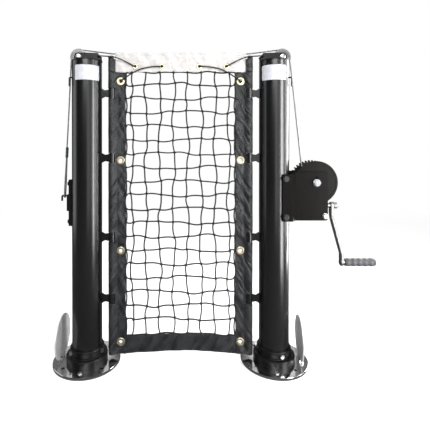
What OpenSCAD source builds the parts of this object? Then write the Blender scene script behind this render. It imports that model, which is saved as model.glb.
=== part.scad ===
// Court net on two steel posts: a winch post on the right and an anchor post on the left.
// Origin: left post's axis at floor level. +X runs to the winch post, +Z is up, and -Y is the front.

/* [Posts] */
// Distance between the two post axes
post_spacing = 650; // [600:10:1400]
// Outside diameter of a post
post_d = 101.6; // [96:0.2:106]
// Wall of a post tube
post_wall = 3.2; // [2:0.2:6]
// Height of a post tube above the floor
post_h = 1034; // [1020:2:1060]

/* [Floor plates] */
// Diameter of a floor plate
plate_d = 228; // [222:2:260]
// Thickness of a floor plate
plate_t = 8; // [5:0.5:12]
// Pitch circle of the anchor holes and the plate screws
anchor_pcd = 180; // [172:2:190]
// Diameter of an anchor hole
anchor_hole_d = 11; // [8:0.5:13]
// Number of anchor holes in a plate
anchor_count = 4; // [4]
// Turn of the right plate's hole pattern about its post
right_pattern_turn = 9; // [0:1:12]
// Diameter of a plate screw
plate_screw_d = 8; // [6:0.5:9]
// Diameter of a plate screw's head
plate_screw_head_d = 14; // [12:0.5:16]
// Height of a plate screw's head
plate_screw_head_h = 3.5; // [2:0.5:5]

/* [Lids] */
// Diameter of a lid
lid_d = 148; // [130:2:150]
// Thickness of a lid
lid_t = 4; // [3:0.5:5]
// Distance from a post's axis to its lid's hinge line
hinge_offset = 90; // [89:0.5:96]
// Height of the lid's centre above the hinge line
lid_reach = 68; // [60:1:72]
// Turn of the left lid's hinge about its post, from straight outboard towards the back
left_hinge_turn = 1; // [-12:1:12]
// Turn of the right lid's hinge about its post, from straight outboard towards the back
right_hinge_turn = -8; // [-12:1:12]
// Outside diameter of a hinge knuckle
knuckle_d = 12; // [10:0.5:14]
// Width of each knuckle on the plate
plate_knuckle_w = 12; // [8:1:16]
// Width of the knuckle on the lid
lid_knuckle_w = 15.4; // [12:0.2:20]
// Diameter of a hinge pin
pin_d = 6; // [4:0.2:7]

/* [Collars] */
// Diameter of a collar's lower tier
collar_base_d = 140; // [130:1:146]
// Height of the lower tier above the plate
collar_base_h = 22; // [14:1:26]
// Wall of the upper tier round the post
collar_neck_wall = 6.6; // [5:0.2:11]
// Height of a collar above the plate
collar_h = 48; // [44:1:60]
// Diameter of a collar bolt
collar_bolt_d = 8; // [6:0.5:10]
// Number of bolts in a collar
collar_bolt_count = 3; // [2:1:4]
// Direction of the left collar's first bolt, from straight outboard towards the front
left_collar_turn = 40; // [0:5:90]
// Direction of the right collar's first bolt, from straight outboard towards the front
right_collar_turn = 77; // [0:1:90]

/* [Post heads] */
// Thickness of the cap plate on a post
cap_t = 5; // [4:0.5:8]
// Thickness of a cheek plate
cheek_t = 5; // [4:0.5:7]
// Height of the cheek plates above the post tube
cheek_h = 33; // [32:0.5:36]
// Radius of a cheek's round end about the axle bolt
cheek_end_r = 15; // [13:0.5:16]
// Diameter of the cord holes in the cheeks
cord_hole_d = 9; // [7:0.5:10]
// Distance of a sheave's axle outboard of the post axis
sheave_offset = 27; // [26.8:0.1:28]
// Height of a sheave's axle above the post tube
sheave_rise = 18; // [17.5:0.5:20]
// Width of a sheave
sheave_w = 12; // [10:0.5:14]
// Side gap between a sheave and a cheek
sheave_side_gap = 1; // [0.5:0.1:1.5]
// Radius at which the cable's centre runs round a sheave
sheave_cable_r = 27; // [26.5:0.1:27.5]
// Diameter of the axle bolt
axle_d = 12; // [10:0.5:13]

/* [Rope hooks] */
// Diameter of the hook rod
rope_hook_d = 5; // [4:0.5:6]
// Distance from the top of a post tube down to its rope hook
rope_hook_drop = 56; // [40:1:90]
// Distance that a hook stands out of its post
rope_hook_out = 9; // [8:0.5:12]
// Length of a hook's hanging leg
rope_hook_leg = 24; // [18:1:36]
// Direction of a hook, from straight outboard towards the front
rope_hook_turn = 28; // [22:1:40]

/* [Net edges] */
// Distance from a post's axis to its lacing rod
rod_offset = 86; // [84:0.5:96]
// Diameter of a lacing rod
rod_d = 12.7; // [10:0.1:13]
// Height of a lacing rod's foot above the floor
rod_foot = 24; // [20:1:40]
// Distance from the cable down to a lacing rod's top
rod_drop = 7; // [4:1:12]
// Heights of the lugs that hold a lacing rod, as shares of the post tube's height
lug_shares = [0.208, 0.414, 0.68, 0.8965];
// Height of a lug
lug_h = 33; // [24:1:40]
// Outside diameter of a lug's barrel
lug_barrel_d = 22; // [20:0.5:23]
// Outside diameter of the tape's sleeve
sleeve_d = 25; // [24:0.5:28]
// Distance from a lacing rod to the tape's inner edge
tape_w = 49; // [46:1:60]
// Thickness of the tapes and bands
tape_t = 4; // [3:0.5:5]
// Heights of the grommets in a side tape, as shares of the cable's height
side_grommet_shares = [0.059, 0.3575, 0.6525, 0.91];
// Outside diameter of a side grommet
side_grommet_d = 28; // [22:0.5:30]
// Distance from a lacing rod to its line of side grommets
side_grommet_offset = 31; // [30:0.5:32]
// Hole in a side grommet
side_grommet_hole_d = 12; // [9:0.5:12.5]

/* [Bands] */
// Height of the net cable above the post tubes
cable_rise = 31; // [28:1:33]
// Depth of the headband below the cable
headband_drop = 64; // [56:1:70]
// Distances of the headband's grommets from the middle of the net
headband_grommet_offsets = [65, 158];
// Outside diameter of a headband grommet
headband_grommet_d = 20; // [16:0.5:24]
// Distance from the cable down to the headband's grommets
headband_grommet_drop = 44; // [40:1:46]
// Hole in a headband grommet
headband_grommet_hole_d = 9; // [7:0.5:11]
// Height of the bottom band
bottom_band_h = 60; // [50:1:64]
// Height of the tapes' and the bottom band's lower edge
tape_foot = 21; // [16:1:30]
// Rise of the bottom band at the middle of the net
band_rise = 10; // [0:1:20]

/* [Net] */
// Distance between neighbouring net cords
mesh_size = 48; // [44:1:60]
// Distance from the headband to the first row
first_row_drop = 43; // [30:1:50]
// Width of a net cord
net_cord_d = 3; // [2:0.25:4]
// Sideways wander of the knots
knot_wander = 3; // [0:0.5:5]

/* [Cable] */
// Diameter of the net cable
cable_d = 5; // [4.5:0.1:5]
// Diameter of the lacing cord
cord_d = 4.5; // [3.5:0.1:5]
// Diameter of a stopper knot in the lacing cord
knot_d = 13.2; // [12.8:0.1:13.2]
// Number of cable turns on the drum
cable_turns = 4; // [2:1:4]
// Distance between neighbouring turns
turn_pitch = 5.5; // [5.5:0.05:5.6]
// Height of the crimped ferrule's foot
ferrule_z = 705; // [680:1:740]
// Length of the ferrule
ferrule_l = 35; // [25:1:45]

/* [Cable anchor] */
// Height of the anchor rail's foot
rail_foot = 468; // [440:1:480]
// Length of the anchor rail
rail_l = 160; // [156:1:190]
// Distance from the rail's ends to its bolts
rail_bolt_inset = 14; // [10:1:15]
// Height of the carriage's foot at rest
carriage_foot = 521; // [515:1:524]
// Length of the carriage
carriage_l = 56; // [50:1:58]
// Diameter of the hook rod
hook_d = 6.5; // [5:0.5:7]
// Distance of the hook's tip outboard of the post axis
hook_tip_offset = 87; // [85:0.5:92]
// Length of the hook's hanging tip below its arm
hook_tip_l = 18; // [12:1:26]
// Distance of the cable loop outboard of the post axis
loop_offset = 77; // [75:0.5:78]

/* [Winch] */
// Distance from the post axis to the drum shaft
drum_offset = 136; // [134:0.5:137]
// Height of the drum shaft
drum_z = 620; // [600:1:640]
// Thickness of a winch plate
winch_plate_t = 4; // [3:0.5:6]
// Distance from the post axis to the outer edge of the winch plates
winch_reach = 174; // [173:1:184]
// Distance from the post axis to the plates' ears
ear_start = 15; // [14:0.5:19]
// Drop of the plates' lower edge below the drum shaft
winch_drop = 128; // [127:1:142]
// Rise of the plates' upper edge above the drum shaft
winch_rise = 36; // [30:1:40]
// Height of the ears below the plates' upper edge
ear_step = 7; // [4:1:14]
// Distance from the middle plane to the front plate's inner face
front_face_y = 31; // [30.8:0.1:32]
// Diameter of the drum's flanges
flange_d = 147; // [144:1:150]
// Thickness of a drum flange
flange_t = 3.6; // [3:0.1:3.6]
// Diameter of the drum's barrel
barrel_d = 61.6; // [60:0.2:64]
// Width of the drum between its flanges
barrel_w = 29; // [28:0.5:29.2]
// Diameter of the drum shaft
drum_shaft_d = 12; // [10:0.5:14]
// Diameter of the drum's hub
hub_d = 30; // [26:0.5:36]

/* [Worm gear] */
// Number of teeth on the worm wheel
wheel_teeth = 40; // [40]
// Module of the gear
gear_module = 3.6; // [3.6]
// Width of the worm wheel
wheel_w = 9; // [7:0.5:9]
// Distance of the worm's axis behind the middle plane
worm_y = 24; // [23.6:0.1:24.4]
// Pitch radius of the worm
worm_pitch_r = 14; // [14]
// Diameter of the worm shaft's journals
journal_d = 16; // [14:0.5:17]
// Thickness of a bearing block
block_t = 10; // [8:0.5:11]
// Height of a bearing block
block_h = 30; // [28:0.5:30.5]
// Outside diameter of a bush
bush_d = 21; // [20:0.5:23]

/* [Crank] */
// Distance from the post axis to the crank arm's inner face
arm_offset = 206.5; // [202:0.5:212]
// Thickness of the crank arm
arm_t = 8; // [6:0.5:10]
// Width of the crank arm
arm_w = 25; // [20:0.5:30]
// Distance from the crank's axis to the grip's axis
crank_throw = 202; // [160:1:220]
// Outward step of the crank arm
arm_step = 36; // [20:1:40]
// Diameter of the grip
grip_d = 28; // [24:0.5:32]
// Length of the grip
grip_l = 109; // [90:1:120]
// Number of finger swells on the grip
grip_swells = 5; // [3:1:7]
// Diameter of the grip's spindle
spindle_d = 10; // [8:0.5:11]

/* [Hidden] */

// Clearances: a running fit, a snug fit, and the gap round a soft or moving surface
run_gap = 0.05;
snug_gap = 0.02;
free_gap = 0.3;
// Overshoot of a cutter past the face it cuts
cut = 1;

post_r = post_d / 2;
mid_x = post_spacing / 2;
cable_h = post_h + cable_rise;

// Bore of a collar and outer radius of its upper tier
bore_r = post_r + 0.1;
neck_r = bore_r + collar_neck_wall;

hinge_z = plate_t + knuckle_d / 2;
// The lid's mid plane lies inboard of the hinge line, so that the closed lid rests on the plate
lid_inset = knuckle_d / 2 - lid_t / 2 - 0.2;
knuckle_gap = 0.3;
knuckle_start = lid_knuckle_w / 2 + knuckle_gap;
leaf_clear_r = knuckle_d / 2 + 0.6;

cheek_gap = sheave_w + 2 * sheave_side_gap;
cheek_y = cheek_gap / 2 + cheek_t;
sheave_z = post_h + sheave_rise;
sheave_groove_r = cable_d / 2 + free_gap;
sheave_rim_r = sheave_cable_r + 2.5;
cheek_inner_x = post_r - 2;
cord_hole_x = cheek_inner_x - 6;
cord_hole_z = cable_h - 12;
spigot_h = 12;
spigot_wall = 4;
slot_inner_x = sheave_rim_r - sheave_offset + 1.5;

// Sizes of the hexagon heads and nuts, by the bolt's diameter
function head_r(d) = 0.92 * d;
function head_h(d) = 0.65 * d;
washer_t = 1.6;

headband_foot = cable_h - headband_drop;
headband_eyelet_z = cable_h - headband_grommet_drop;
net_half = mid_x - rod_offset - tape_w;
headband_half = mid_x - rod_offset - sleeve_d / 2 - free_gap;
side_grommet_x = rod_offset + side_grommet_offset;
lug_slot_h = lug_h + 8;
grommet_barrel = 2;
grommet_lip = 1.2;
band_steps = 16;

cols = round(2 * net_half / mesh_size);
// The last row keeps at least half a mesh clear of the bottom band
net_drop = headband_foot - first_row_drop - tape_foot - bottom_band_h - band_rise;
rows = floor(net_drop / mesh_size - 0.5) + 1;

// The anchor rail's T section, measured outboard from the post axis
rail_back = post_r + 0.1;
rail_base_t = 3.5;
rail_neck_t = 3;
rail_head_t = 4;
rail_face = rail_back + rail_base_t + rail_neck_t + rail_head_t;
rail_base_w = 24;
rail_neck_w = 10;
rail_head_w = 22;
carriage_face = rail_face + free_gap + 4.6;
carriage_w = 32;
rail_bolt_d = 8;
hook_z = carriage_foot + carriage_l - 5;
hook_bend_r = 4.5;

// The winch's planes along Y; the front plate steps forward to pass the post
plate_gap = 0.4;
ear_face_y = sqrt(post_r * post_r - ear_start * ear_start) + plate_gap;
ear_end = post_r + 0.4;
bend_end = ear_end + 15;
drum_front_y = 1 - front_face_y;
barrel_front_y = drum_front_y + flange_t;
barrel_rear_y = barrel_front_y + barrel_w;
drum_rear_y = barrel_rear_y + flange_t;
wheel_front_y = worm_y - wheel_w / 2;
wheel_rear_y = worm_y + wheel_w / 2;
lip_w = 20;
post_bolt_d = 10;
post_bolt_x = 27;
winch_foot = drum_z - winch_drop;
winch_top = drum_z + winch_rise;
post_bolt_zs = [winch_foot + 14, winch_top - ear_step - 15];
tie_x = winch_reach - 9;
tie_z = winch_foot + 15;
tie_bolt_d = 10;
tie_spacer_d = 16;
peep_hole_d = 7;
peep_hole_rise = 17.5;
block_screw_d = 6;
block_screw_gap = 18;
block_front_y = drum_rear_y + 1.5;
// Places of the two bearing blocks' inner faces along the worm, outboard from the post axis
inner_block_x = drum_offset - 40;
outer_block_x = drum_offset + 27;

// Gear proportions
wheel_pitch_r = wheel_teeth * gear_module / 2;
worm_z = drum_z - wheel_pitch_r - worm_pitch_r;
addendum = 2.9;
wheel_tip_r = wheel_pitch_r + addendum;
wheel_root_r = wheel_pitch_r - 4.1;
worm_tip_r = worm_pitch_r + addendum;
worm_root_r = 10.4;
lead = PI * gear_module;
pressure_angle = 20;
wheel_tooth_w = 4.9;
worm_thread_w = 4.5;
thread_start = inner_block_x + block_t + 6;
thread_end = outer_block_x - 5;
thread_turns = (thread_end - thread_start) / lead;
thread_steps = 24;

crank_end = arm_offset + arm_t;
crank_thread_d = 12;
crank_washer_t = 5;
crank_nut_h = 10;
grip_gap = 6;
grip_x = arm_offset + arm_step + arm_t + grip_gap;
grip_z = worm_z - crank_throw;
grip_head_d = 16;
grip_recess = 5;
spindle_end = grip_x + grip_l - 2;

// ---- shared geometry ----

// A profile drawn in X and Z, standing from y0 to y0 + t
module upright(y0, t) {
    translate([0, y0 + t, 0]) rotate([90, 0, 0]) linear_extrude(t) children();
}

// A rod along +Y from y0
module rod_y(y0, l, d) {
    translate([0, y0, 0]) rotate([-90, 0, 0]) cylinder(h = l, d = d, $fn = 48);
}

// A rod along +X from x0
module rod_x(x0, l, d) {
    translate([x0, 0, 0]) rotate([0, 90, 0]) cylinder(h = l, d = d, $fn = 48);
}

// A through bolt along Y: head in front of y0, nut behind y1, both on washers
module bolt_y(d, y0, y1) {
    rod_y(y0 - washer_t, y1 - y0 + 2 * washer_t + head_h(d) + 2, d);
    translate([0, y0 - washer_t - head_h(d), 0]) rotate([-90, 0, 0])
        cylinder(h = head_h(d), r = head_r(d), $fn = 6);
    for (y = [y0 - washer_t, y1]) {
        difference() {
            rod_y(y, washer_t, 2.1 * d);
            rod_y(y - cut, washer_t + 2 * cut, d + 2 * snug_gap);
        }
    }
    difference() {
        translate([0, y1 + washer_t, 0]) rotate([-90, 0, 0])
            cylinder(h = head_h(d), r = head_r(d), $fn = 6);
        rod_y(y1, head_h(d) + 3 * cut, d + 2 * snug_gap);
    }
}

// Puts its children on the right post, mirrored, so that -X is outboard on both posts
module at_right() {
    translate([post_spacing, 0, 0]) mirror([1, 0, 0]) children();
}

module both_posts() {
    children();
    at_right() children();
}

// Puts its children on the winch post with +X outboard
module at_winch() {
    translate([post_spacing, 0, 0]) children();
}

function unit(v) = v / norm(v);
function square_to(v, t) = unit(v - (v * t) * t);
function tangent(p, i) = unit(p[min(i + 1, len(p) - 1)] - p[max(i - 1, 0)]);

// Ring directions carried along a route without twist
function ring_axes(p, seed) = [
    for (i = 0, n = square_to(seed, tangent(p, 0)); i < len(p); i = i + 1,
        n = i < len(p) ? square_to(n, tangent(p, i)) : n) n
];

// Points of a tube's rings, one ring for each point of the route
function tube_points(p, axes, r, sides) = [
    for (i = [0 : len(p) - 1], k = [0 : sides - 1])
        let (t = tangent(p, i), a = 360 * k / sides)
        p[i] + r * (cos(a) * axes[i] + sin(a) * cross(t, axes[i]))
];

// Triangles that join a row of rings and close both ends
function sweep_faces(rings, sides) = concat(
    [for (i = [0 : rings - 2], k = [0 : sides - 1])
        let (n = (k + 1) % sides) [i * sides + k, (i + 1) * sides + n, i * sides + n]],
    [for (i = [0 : rings - 2], k = [0 : sides - 1])
        let (n = (k + 1) % sides) [i * sides + k, (i + 1) * sides + k, (i + 1) * sides + n]],
    [for (k = [1 : sides - 2]) [0, k, k + 1]],
    [for (k = [1 : sides - 2])
        [(rings - 1) * sides, (rings - 1) * sides + k + 1, (rings - 1) * sides + k]]
);

module tube(route, d, seed) {
    sides = 8;
    polyhedron(
        points = tube_points(route, ring_axes(route, seed), d / 2, sides),
        faces = sweep_faces(len(route), sides),
        convexity = 10
    );
}

// A smooth curve through hand-placed points, with k steps between neighbours
function curve_at(p, i, s) =
    let (
        n = len(p) - 1,
        a = p[max(i - 1, 0)],
        b = p[i],
        c = p[min(i + 1, n)],
        d = p[min(i + 2, n)]
    )
    0.5 * (2 * b + (c - a) * s + (2 * a - 5 * b + 4 * c - d) * s * s
        + (3 * b - a - 3 * c + d) * s * s * s);
function smooth(p, k) = concat(
    [for (i = [0 : len(p) - 2], j = [0 : k - 1]) curve_at(p, i, j / k)],
    [p[len(p) - 1]]
);

// Points on an arc in a plane of constant y
function arc_points(c, r, from, to, steps, y) = [
    for (i = [0 : steps])
        let (a = from + (to - from) * i / steps) [c[0] + r * cos(a), y, c[1] + r * sin(a)]
];

// ---- foot of a post ----

module hinge_frame(turn) {
    rotate([0, 0, -turn]) translate([-hinge_offset, 0, hinge_z]) children();
}

module floor_plate(turn, pattern_turn) {
    difference() {
        union() {
            cylinder(h = plate_t - 1, d = plate_d, $fn = 96);
            translate([0, 0, plate_t - 1])
                cylinder(h = 1, d1 = plate_d, d2 = plate_d - 2, $fn = 96);
            hinge_frame(turn) {
                for (s = [0, 1]) mirror([0, s, 0]) {
                    rod_y(knuckle_start, plate_knuckle_w, knuckle_d);
                    translate([-knuckle_d / 2, knuckle_start, -hinge_z + plate_t / 2])
                        cube([knuckle_d, plate_knuckle_w, hinge_z - plate_t / 2]);
                }
            }
        }
        translate([0, 0, -cut])
            cylinder(h = plate_t + 2 * cut, r = post_r + free_gap, $fn = 96);
        for (i = [0 : anchor_count - 1])
            rotate([0, 0, 45 + pattern_turn + i * 360 / anchor_count])
                translate([anchor_pcd / 2, 0, -cut])
                    cylinder(h = plate_t + 2 * cut, d = anchor_hole_d, $fn = 48);
        for (a = [90, 270])
            rotate([0, 0, a + pattern_turn]) translate([anchor_pcd / 2, 0, -cut])
                cylinder(h = plate_t + 2 * cut, d = plate_screw_d + 2 * snug_gap, $fn = 48);
        hinge_frame(turn)
            rod_y(-knuckle_start - plate_knuckle_w - cut,
                2 * (knuckle_start + plate_knuckle_w + cut), pin_d + 2 * run_gap);
    }
}

module screw_pair(pattern_turn) {
    for (a = [90, 270])
        rotate([0, 0, a + pattern_turn]) translate([anchor_pcd / 2, 0, 0]) {
            translate([0, 0, free_gap])
                cylinder(h = plate_t - free_gap + 1, d = plate_screw_d, $fn = 48);
            difference() {
                translate([0, 0, plate_t]) {
                    cylinder(h = plate_screw_head_h - 1, d = plate_screw_head_d, $fn = 48);
                    translate([0, 0, plate_screw_head_h - 1])
                        cylinder(h = 1, d1 = plate_screw_head_d, d2 = plate_screw_head_d - 3, $fn = 48);
                }
                translate([0, 0, plate_t + plate_screw_head_h - 1.5])
                    cylinder(h = 1.5 + cut, d = 5, $fn = 6);
            }
        }
}

module lid(turn) {
    hinge_frame(turn) difference() {
        union() {
            difference() {
                translate([lid_inset - lid_t / 2, 0, lid_reach])
                    rotate([0, 90, 0]) {
                        cylinder(h = lid_t - 0.8, d = lid_d, $fn = 96);
                        translate([0, 0, lid_t - 0.8])
                            cylinder(h = 0.8, d1 = lid_d, d2 = lid_d - 1.6, $fn = 96);
                    }
                translate([-lid_d, -lid_d, leaf_clear_r - 2 * lid_d])
                    cube([2 * lid_d, 2 * lid_d, 2 * lid_d]);
            }
            translate([lid_inset - lid_t / 2, -lid_knuckle_w / 2, 0])
                cube([lid_t, lid_knuckle_w, leaf_clear_r + cut]);
            rod_y(-lid_knuckle_w / 2, lid_knuckle_w, knuckle_d);
        }
        rod_y(-lid_knuckle_w, 2 * lid_knuckle_w, pin_d + 2 * run_gap);
    }
}

module lid_pin(turn) {
    pin_half = knuckle_start + plate_knuckle_w;
    hinge_frame(turn) {
        rod_y(-pin_half - 2, 2 * pin_half + 4, pin_d);
        for (s = [0, 1]) mirror([0, s, 0]) rod_y(pin_half, 2, pin_d + 2.4);
    }
}

module collar(turn) {
    base_r = collar_base_d / 2;
    difference() {
        rotate_extrude($fn = 96) polygon([
            [bore_r, plate_t],
            [base_r, plate_t],
            [base_r, plate_t + collar_base_h - 4],
            [base_r - 1.2, plate_t + collar_base_h - 1.2],
            [base_r - 4, plate_t + collar_base_h],
            [neck_r + 2, plate_t + collar_base_h],
            [neck_r, plate_t + collar_base_h + 2],
            [neck_r, plate_t + collar_h - 4],
            [neck_r - 0.18 * collar_neck_wall, plate_t + collar_h - 1.2],
            [neck_r - 0.6 * collar_neck_wall, plate_t + collar_h],
            [bore_r, plate_t + collar_h]
        ]);
        collar_bolt_places(turn) rod_x(0, collar_base_d, collar_bolt_d + 2 * snug_gap);
    }
}

module collar_bolt_places(turn) {
    bolt_z = plate_t + (collar_base_h + collar_h) / 2;
    for (i = [0 : collar_bolt_count - 1])
        translate([0, 0, bolt_z]) rotate([0, 0, 180 + turn + i * 360 / collar_bolt_count]) children();
}

module collar_bolt_set(turn) {
    collar_bolt_places(turn) {
        rod_x(post_r + snug_gap, neck_r - post_r + 1, collar_bolt_d);
        translate([neck_r + snug_gap, 0, 0]) rotate([0, 90, 0])
            cylinder(h = head_h(collar_bolt_d), r = head_r(collar_bolt_d), $fn = 6);
    }
}

// A post tube; its outboard wall is notched at the top to pass the sheave's rim
module post_tube() {
    difference() {
        cylinder(h = post_h, r = post_r, $fn = 96);
        translate([0, 0, -cut]) cylinder(h = post_h + 2 * cut, r = post_r - post_wall, $fn = 96);
        translate([-post_d, -cheek_gap / 2, post_h - spigot_h - 1])
            cube([post_d, cheek_gap, spigot_h + 1 + cut]);
    }
}

// ---- head of a post ----

module cheek_outline() {
    translate([-sheave_offset, sheave_z]) circle(r = cheek_end_r, $fn = 64);
    polygon([
        [-sheave_offset, sheave_z + cheek_end_r],
        [cheek_inner_x - 9, post_h + cheek_h - 2],
        [cheek_inner_x, post_h + cheek_h - 12],
        [cheek_inner_x, post_h + cap_t - cut],
        [-sheave_offset, post_h + cap_t - cut]
    ]);
}

module head_bracket() {
    difference() {
        union() {
            translate([0, 0, post_h]) cylinder(h = cap_t, r = post_r, $fn = 96);
            translate([0, 0, post_h - spigot_h])
                cylinder(h = spigot_h + cut, r = post_r - post_wall - 0.1, $fn = 96);
            for (y = [-cheek_gap / 2 - cheek_t, cheek_gap / 2])
                upright(y, cheek_t) cheek_outline();
        }
        translate([0, 0, post_h - spigot_h - cut])
            cylinder(h = spigot_h + cut, r = post_r - post_wall - spigot_wall, $fn = 96);
        translate([-post_d, -cheek_gap / 2, post_h - spigot_h - cut])
            cube([post_d + slot_inner_x, cheek_gap, spigot_h + cap_t + 2 * cut]);
        translate([-sheave_offset, 0, sheave_z]) rod_y(-post_r, post_d, axle_d + 2 * snug_gap);
        translate([cord_hole_x, 0, cord_hole_z]) rod_y(-post_r, post_d, cord_hole_d);
    }
}

module sheave() {
    hub_face = sheave_w / 2 + sheave_side_gap - 0.2;
    translate([-sheave_offset, 0, sheave_z]) rotate([90, 0, 0]) rotate_extrude($fn = 96)
        difference() {
            union() {
                translate([axle_d / 2 + run_gap, -sheave_w / 2])
                    square([sheave_rim_r - axle_d / 2 - run_gap, sheave_w]);
                translate([axle_d / 2 + run_gap, -hub_face]) square([4, 2 * hub_face]);
            }
            translate([sheave_cable_r, 0]) circle(r = sheave_groove_r, $fn = 48);
            polygon([
                [sheave_cable_r, -sheave_groove_r],
                [sheave_rim_r + cut, -sheave_w / 2 + 1],
                [sheave_rim_r + cut, sheave_w / 2 - 1],
                [sheave_cable_r, sheave_groove_r]
            ]);
            for (s = [-1, 1]) translate([13, s * sheave_w / 2 - 1.5]) square([8, 3]);
        }
}

module sheave_bolt() {
    translate([-sheave_offset, 0, sheave_z]) bolt_y(axle_d, -cheek_y, cheek_y);
}

module rope_hook() {
    bend_r = rope_hook_d;
    rotate([0, 0, 180 + rope_hook_turn]) translate([post_r, 0, post_h - rope_hook_drop]) {
        rod_x(0, rope_hook_out - bend_r, rope_hook_d);
        translate([rope_hook_out - bend_r, 0, -bend_r]) rotate([90, 0, 0])
            rotate_extrude(angle = 90, $fn = 48) translate([bend_r, 0]) circle(d = rope_hook_d, $fn = 48);
        translate([rope_hook_out, 0, -bend_r - rope_hook_leg])
            cylinder(h = rope_hook_leg, d = rope_hook_d, $fn = 48);
        translate([rope_hook_out, 0, -bend_r - rope_hook_leg]) sphere(d = rope_hook_d, $fn = 32);
    }
}

// ---- side edge of the net ----

module lacing_rod() {
    rod_top = cable_h - rod_drop;
    translate([rod_offset, 0, rod_foot]) {
        cylinder(h = rod_top - rod_foot - 1.5, d = rod_d, $fn = 48);
        translate([0, 0, rod_top - rod_foot - 1.5])
            cylinder(h = 1.5, d1 = rod_d, d2 = rod_d - 3, $fn = 48);
    }
}

module rod_lugs() {
    barrel_r = lug_barrel_d / 2;
    waist = post_r + (rod_offset - barrel_r - post_r) / 2;
    difference() {
        for (share = lug_shares) translate([0, 0, share * post_h]) {
            upright(-3, 6) polygon([
                [post_r - 4, -lug_h / 2],
                [post_r + 2, -lug_h / 2],
                [waist, -lug_h / 3],
                [rod_offset - barrel_r + 2, -lug_h / 2.4],
                [rod_offset - barrel_r + 2, lug_h / 2.4],
                [waist, lug_h / 3],
                [post_r + 2, lug_h / 2],
                [post_r - 4, lug_h / 2]
            ]);
            translate([rod_offset, 0, -lug_h / 2])
                cylinder(h = lug_h, r = barrel_r, $fn = 48);
        }
        cylinder(h = post_h, r = post_r + snug_gap, $fn = 96);
        translate([rod_offset, 0, 0])
            cylinder(h = post_h, r = rod_d / 2 + 2 * run_gap, $fn = 48);
    }
}

// The sleeve is cut away at each lug, and the flap runs on past the lug's barrel
module side_tape() {
    sleeve_top = cable_h - rod_drop - 2;
    difference() {
        union() {
            difference() {
                translate([rod_offset, 0, tape_foot])
                    cylinder(h = sleeve_top - tape_foot, d = sleeve_d, $fn = 48);
                lug_slots(sleeve_d / 2 + cut);
            }
            difference() {
                translate([rod_offset, -tape_t / 2, tape_foot])
                    cube([tape_w, tape_t, headband_foot - free_gap - tape_foot]);
                lug_slots(lug_barrel_d / 2 + free_gap);
            }
        }
        translate([rod_offset, 0, 0])
            cylinder(h = cable_h, r = rod_d / 2 + free_gap, $fn = 48);
        side_grommet_places()
            rod_y(-tape_t, 2 * tape_t, side_grommet_hole_d + 2 * grommet_barrel + 0.2);
    }
}

module lug_slots(r) {
    for (share = lug_shares) translate([rod_offset, 0, share * post_h - lug_slot_h / 2])
        cylinder(h = lug_slot_h, r = r, $fn = 48);
}

// A rolled eyelet through a tape, with its axis along Y
module grommet(d, hole_d) {
    hole_r = hole_d / 2;
    barrel_r = hole_r + grommet_barrel;
    face = tape_t / 2;
    rotate([90, 0, 0]) rotate_extrude($fn = 64) {
        translate([hole_r, -face - grommet_lip / 2])
            square([grommet_barrel, tape_t + grommet_lip]);
        for (s = [0, 1]) mirror([0, s]) polygon([
            [hole_r, face],
            [d / 2, face],
            [d / 2, face + grommet_lip / 3],
            [d / 2 - 1.5, face + grommet_lip],
            [barrel_r, face + grommet_lip],
            [hole_r, face + grommet_lip / 2]
        ]);
    }
}

module side_grommet_places() {
    for (share = side_grommet_shares) translate([side_grommet_x, 0, share * cable_h]) children();
}

module side_grommets() {
    side_grommet_places() grommet(side_grommet_d, side_grommet_hole_d);
}

// Where a stopper knot rests behind a hole: the hole's edge lies at y = face
function knot_seat(face, hole_d) = face + sqrt(pow(knot_d / 2 + free_gap, 2) - pow(hole_d / 2, 2));

// Planes in which a cord passes in front of the sleeve, and lies in front of the bands
pass_y = -sleeve_d / 2 - cord_d / 2 - 4;
lie_y = -tape_t / 2 - cord_d / 2 - 3;
eyelet_y = tape_t / 2 + grommet_lip / 2;
headband_eyelet_y = knot_seat(eyelet_y, headband_grommet_hole_d);

// Routes of the lacing cords beside the left post; the right ones mirror them. Each point gives its
// share of the way across, its Y, and its share of the way down, from one hole to the other.
bracket_cord_ends = [[cord_hole_x, cord_hole_z], [mid_x - headband_grommet_offsets[1], headband_eyelet_z]];
bracket_cord_points = [
    [0, knot_seat(cheek_y, cord_hole_d), 0], [0, 0, 0], [0, -cheek_y - 3, 0], [0.06, pass_y, 0],
    [0.19, pass_y, 0.03], [0.35, pass_y + 1, 0.06], [0.53, pass_y + 4, 0.19], [0.74, lie_y - 2, 0.53],
    [0.93, lie_y, 0.91], [0.99, lie_y + 1, 1], [1, 0, 1], [1, headband_eyelet_y, 1]
];
corner_cord_ends = [
    [mid_x - headband_grommet_offsets[0], headband_eyelet_z],
    [side_grommet_x, side_grommet_shares[3] * cable_h]
];
corner_cord_points = [
    [0, headband_eyelet_y, 0], [0, 0, 0], [0.01, lie_y + 1, 0], [0.08, lie_y, 0.02],
    [0.24, lie_y, 0.06], [0.42, lie_y, 0.135], [0.57, lie_y, 0.27], [0.71, lie_y - 1, 0.48],
    [0.85, lie_y - 1, 0.73], [0.96, lie_y, 0.92], [1, -tape_t / 2 - 3, 1], [1, 1, 1],
    [1, knot_seat(eyelet_y, side_grommet_hole_d), 1]
];
function route_between(ends, points) = [
    for (p = points)
        [ends[0][0] + p[0] * (ends[1][0] - ends[0][0]), p[1], ends[0][1] + p[2] * (ends[1][1] - ends[0][1])]
];

module cord(route) {
    tube(smooth(route, 2), cord_d, [0, 0, 1]);
    for (p = [route[0], route[len(route) - 1]]) translate(p) sphere(d = knot_d, $fn = 32);
}

// ---- bands and net ----

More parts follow.
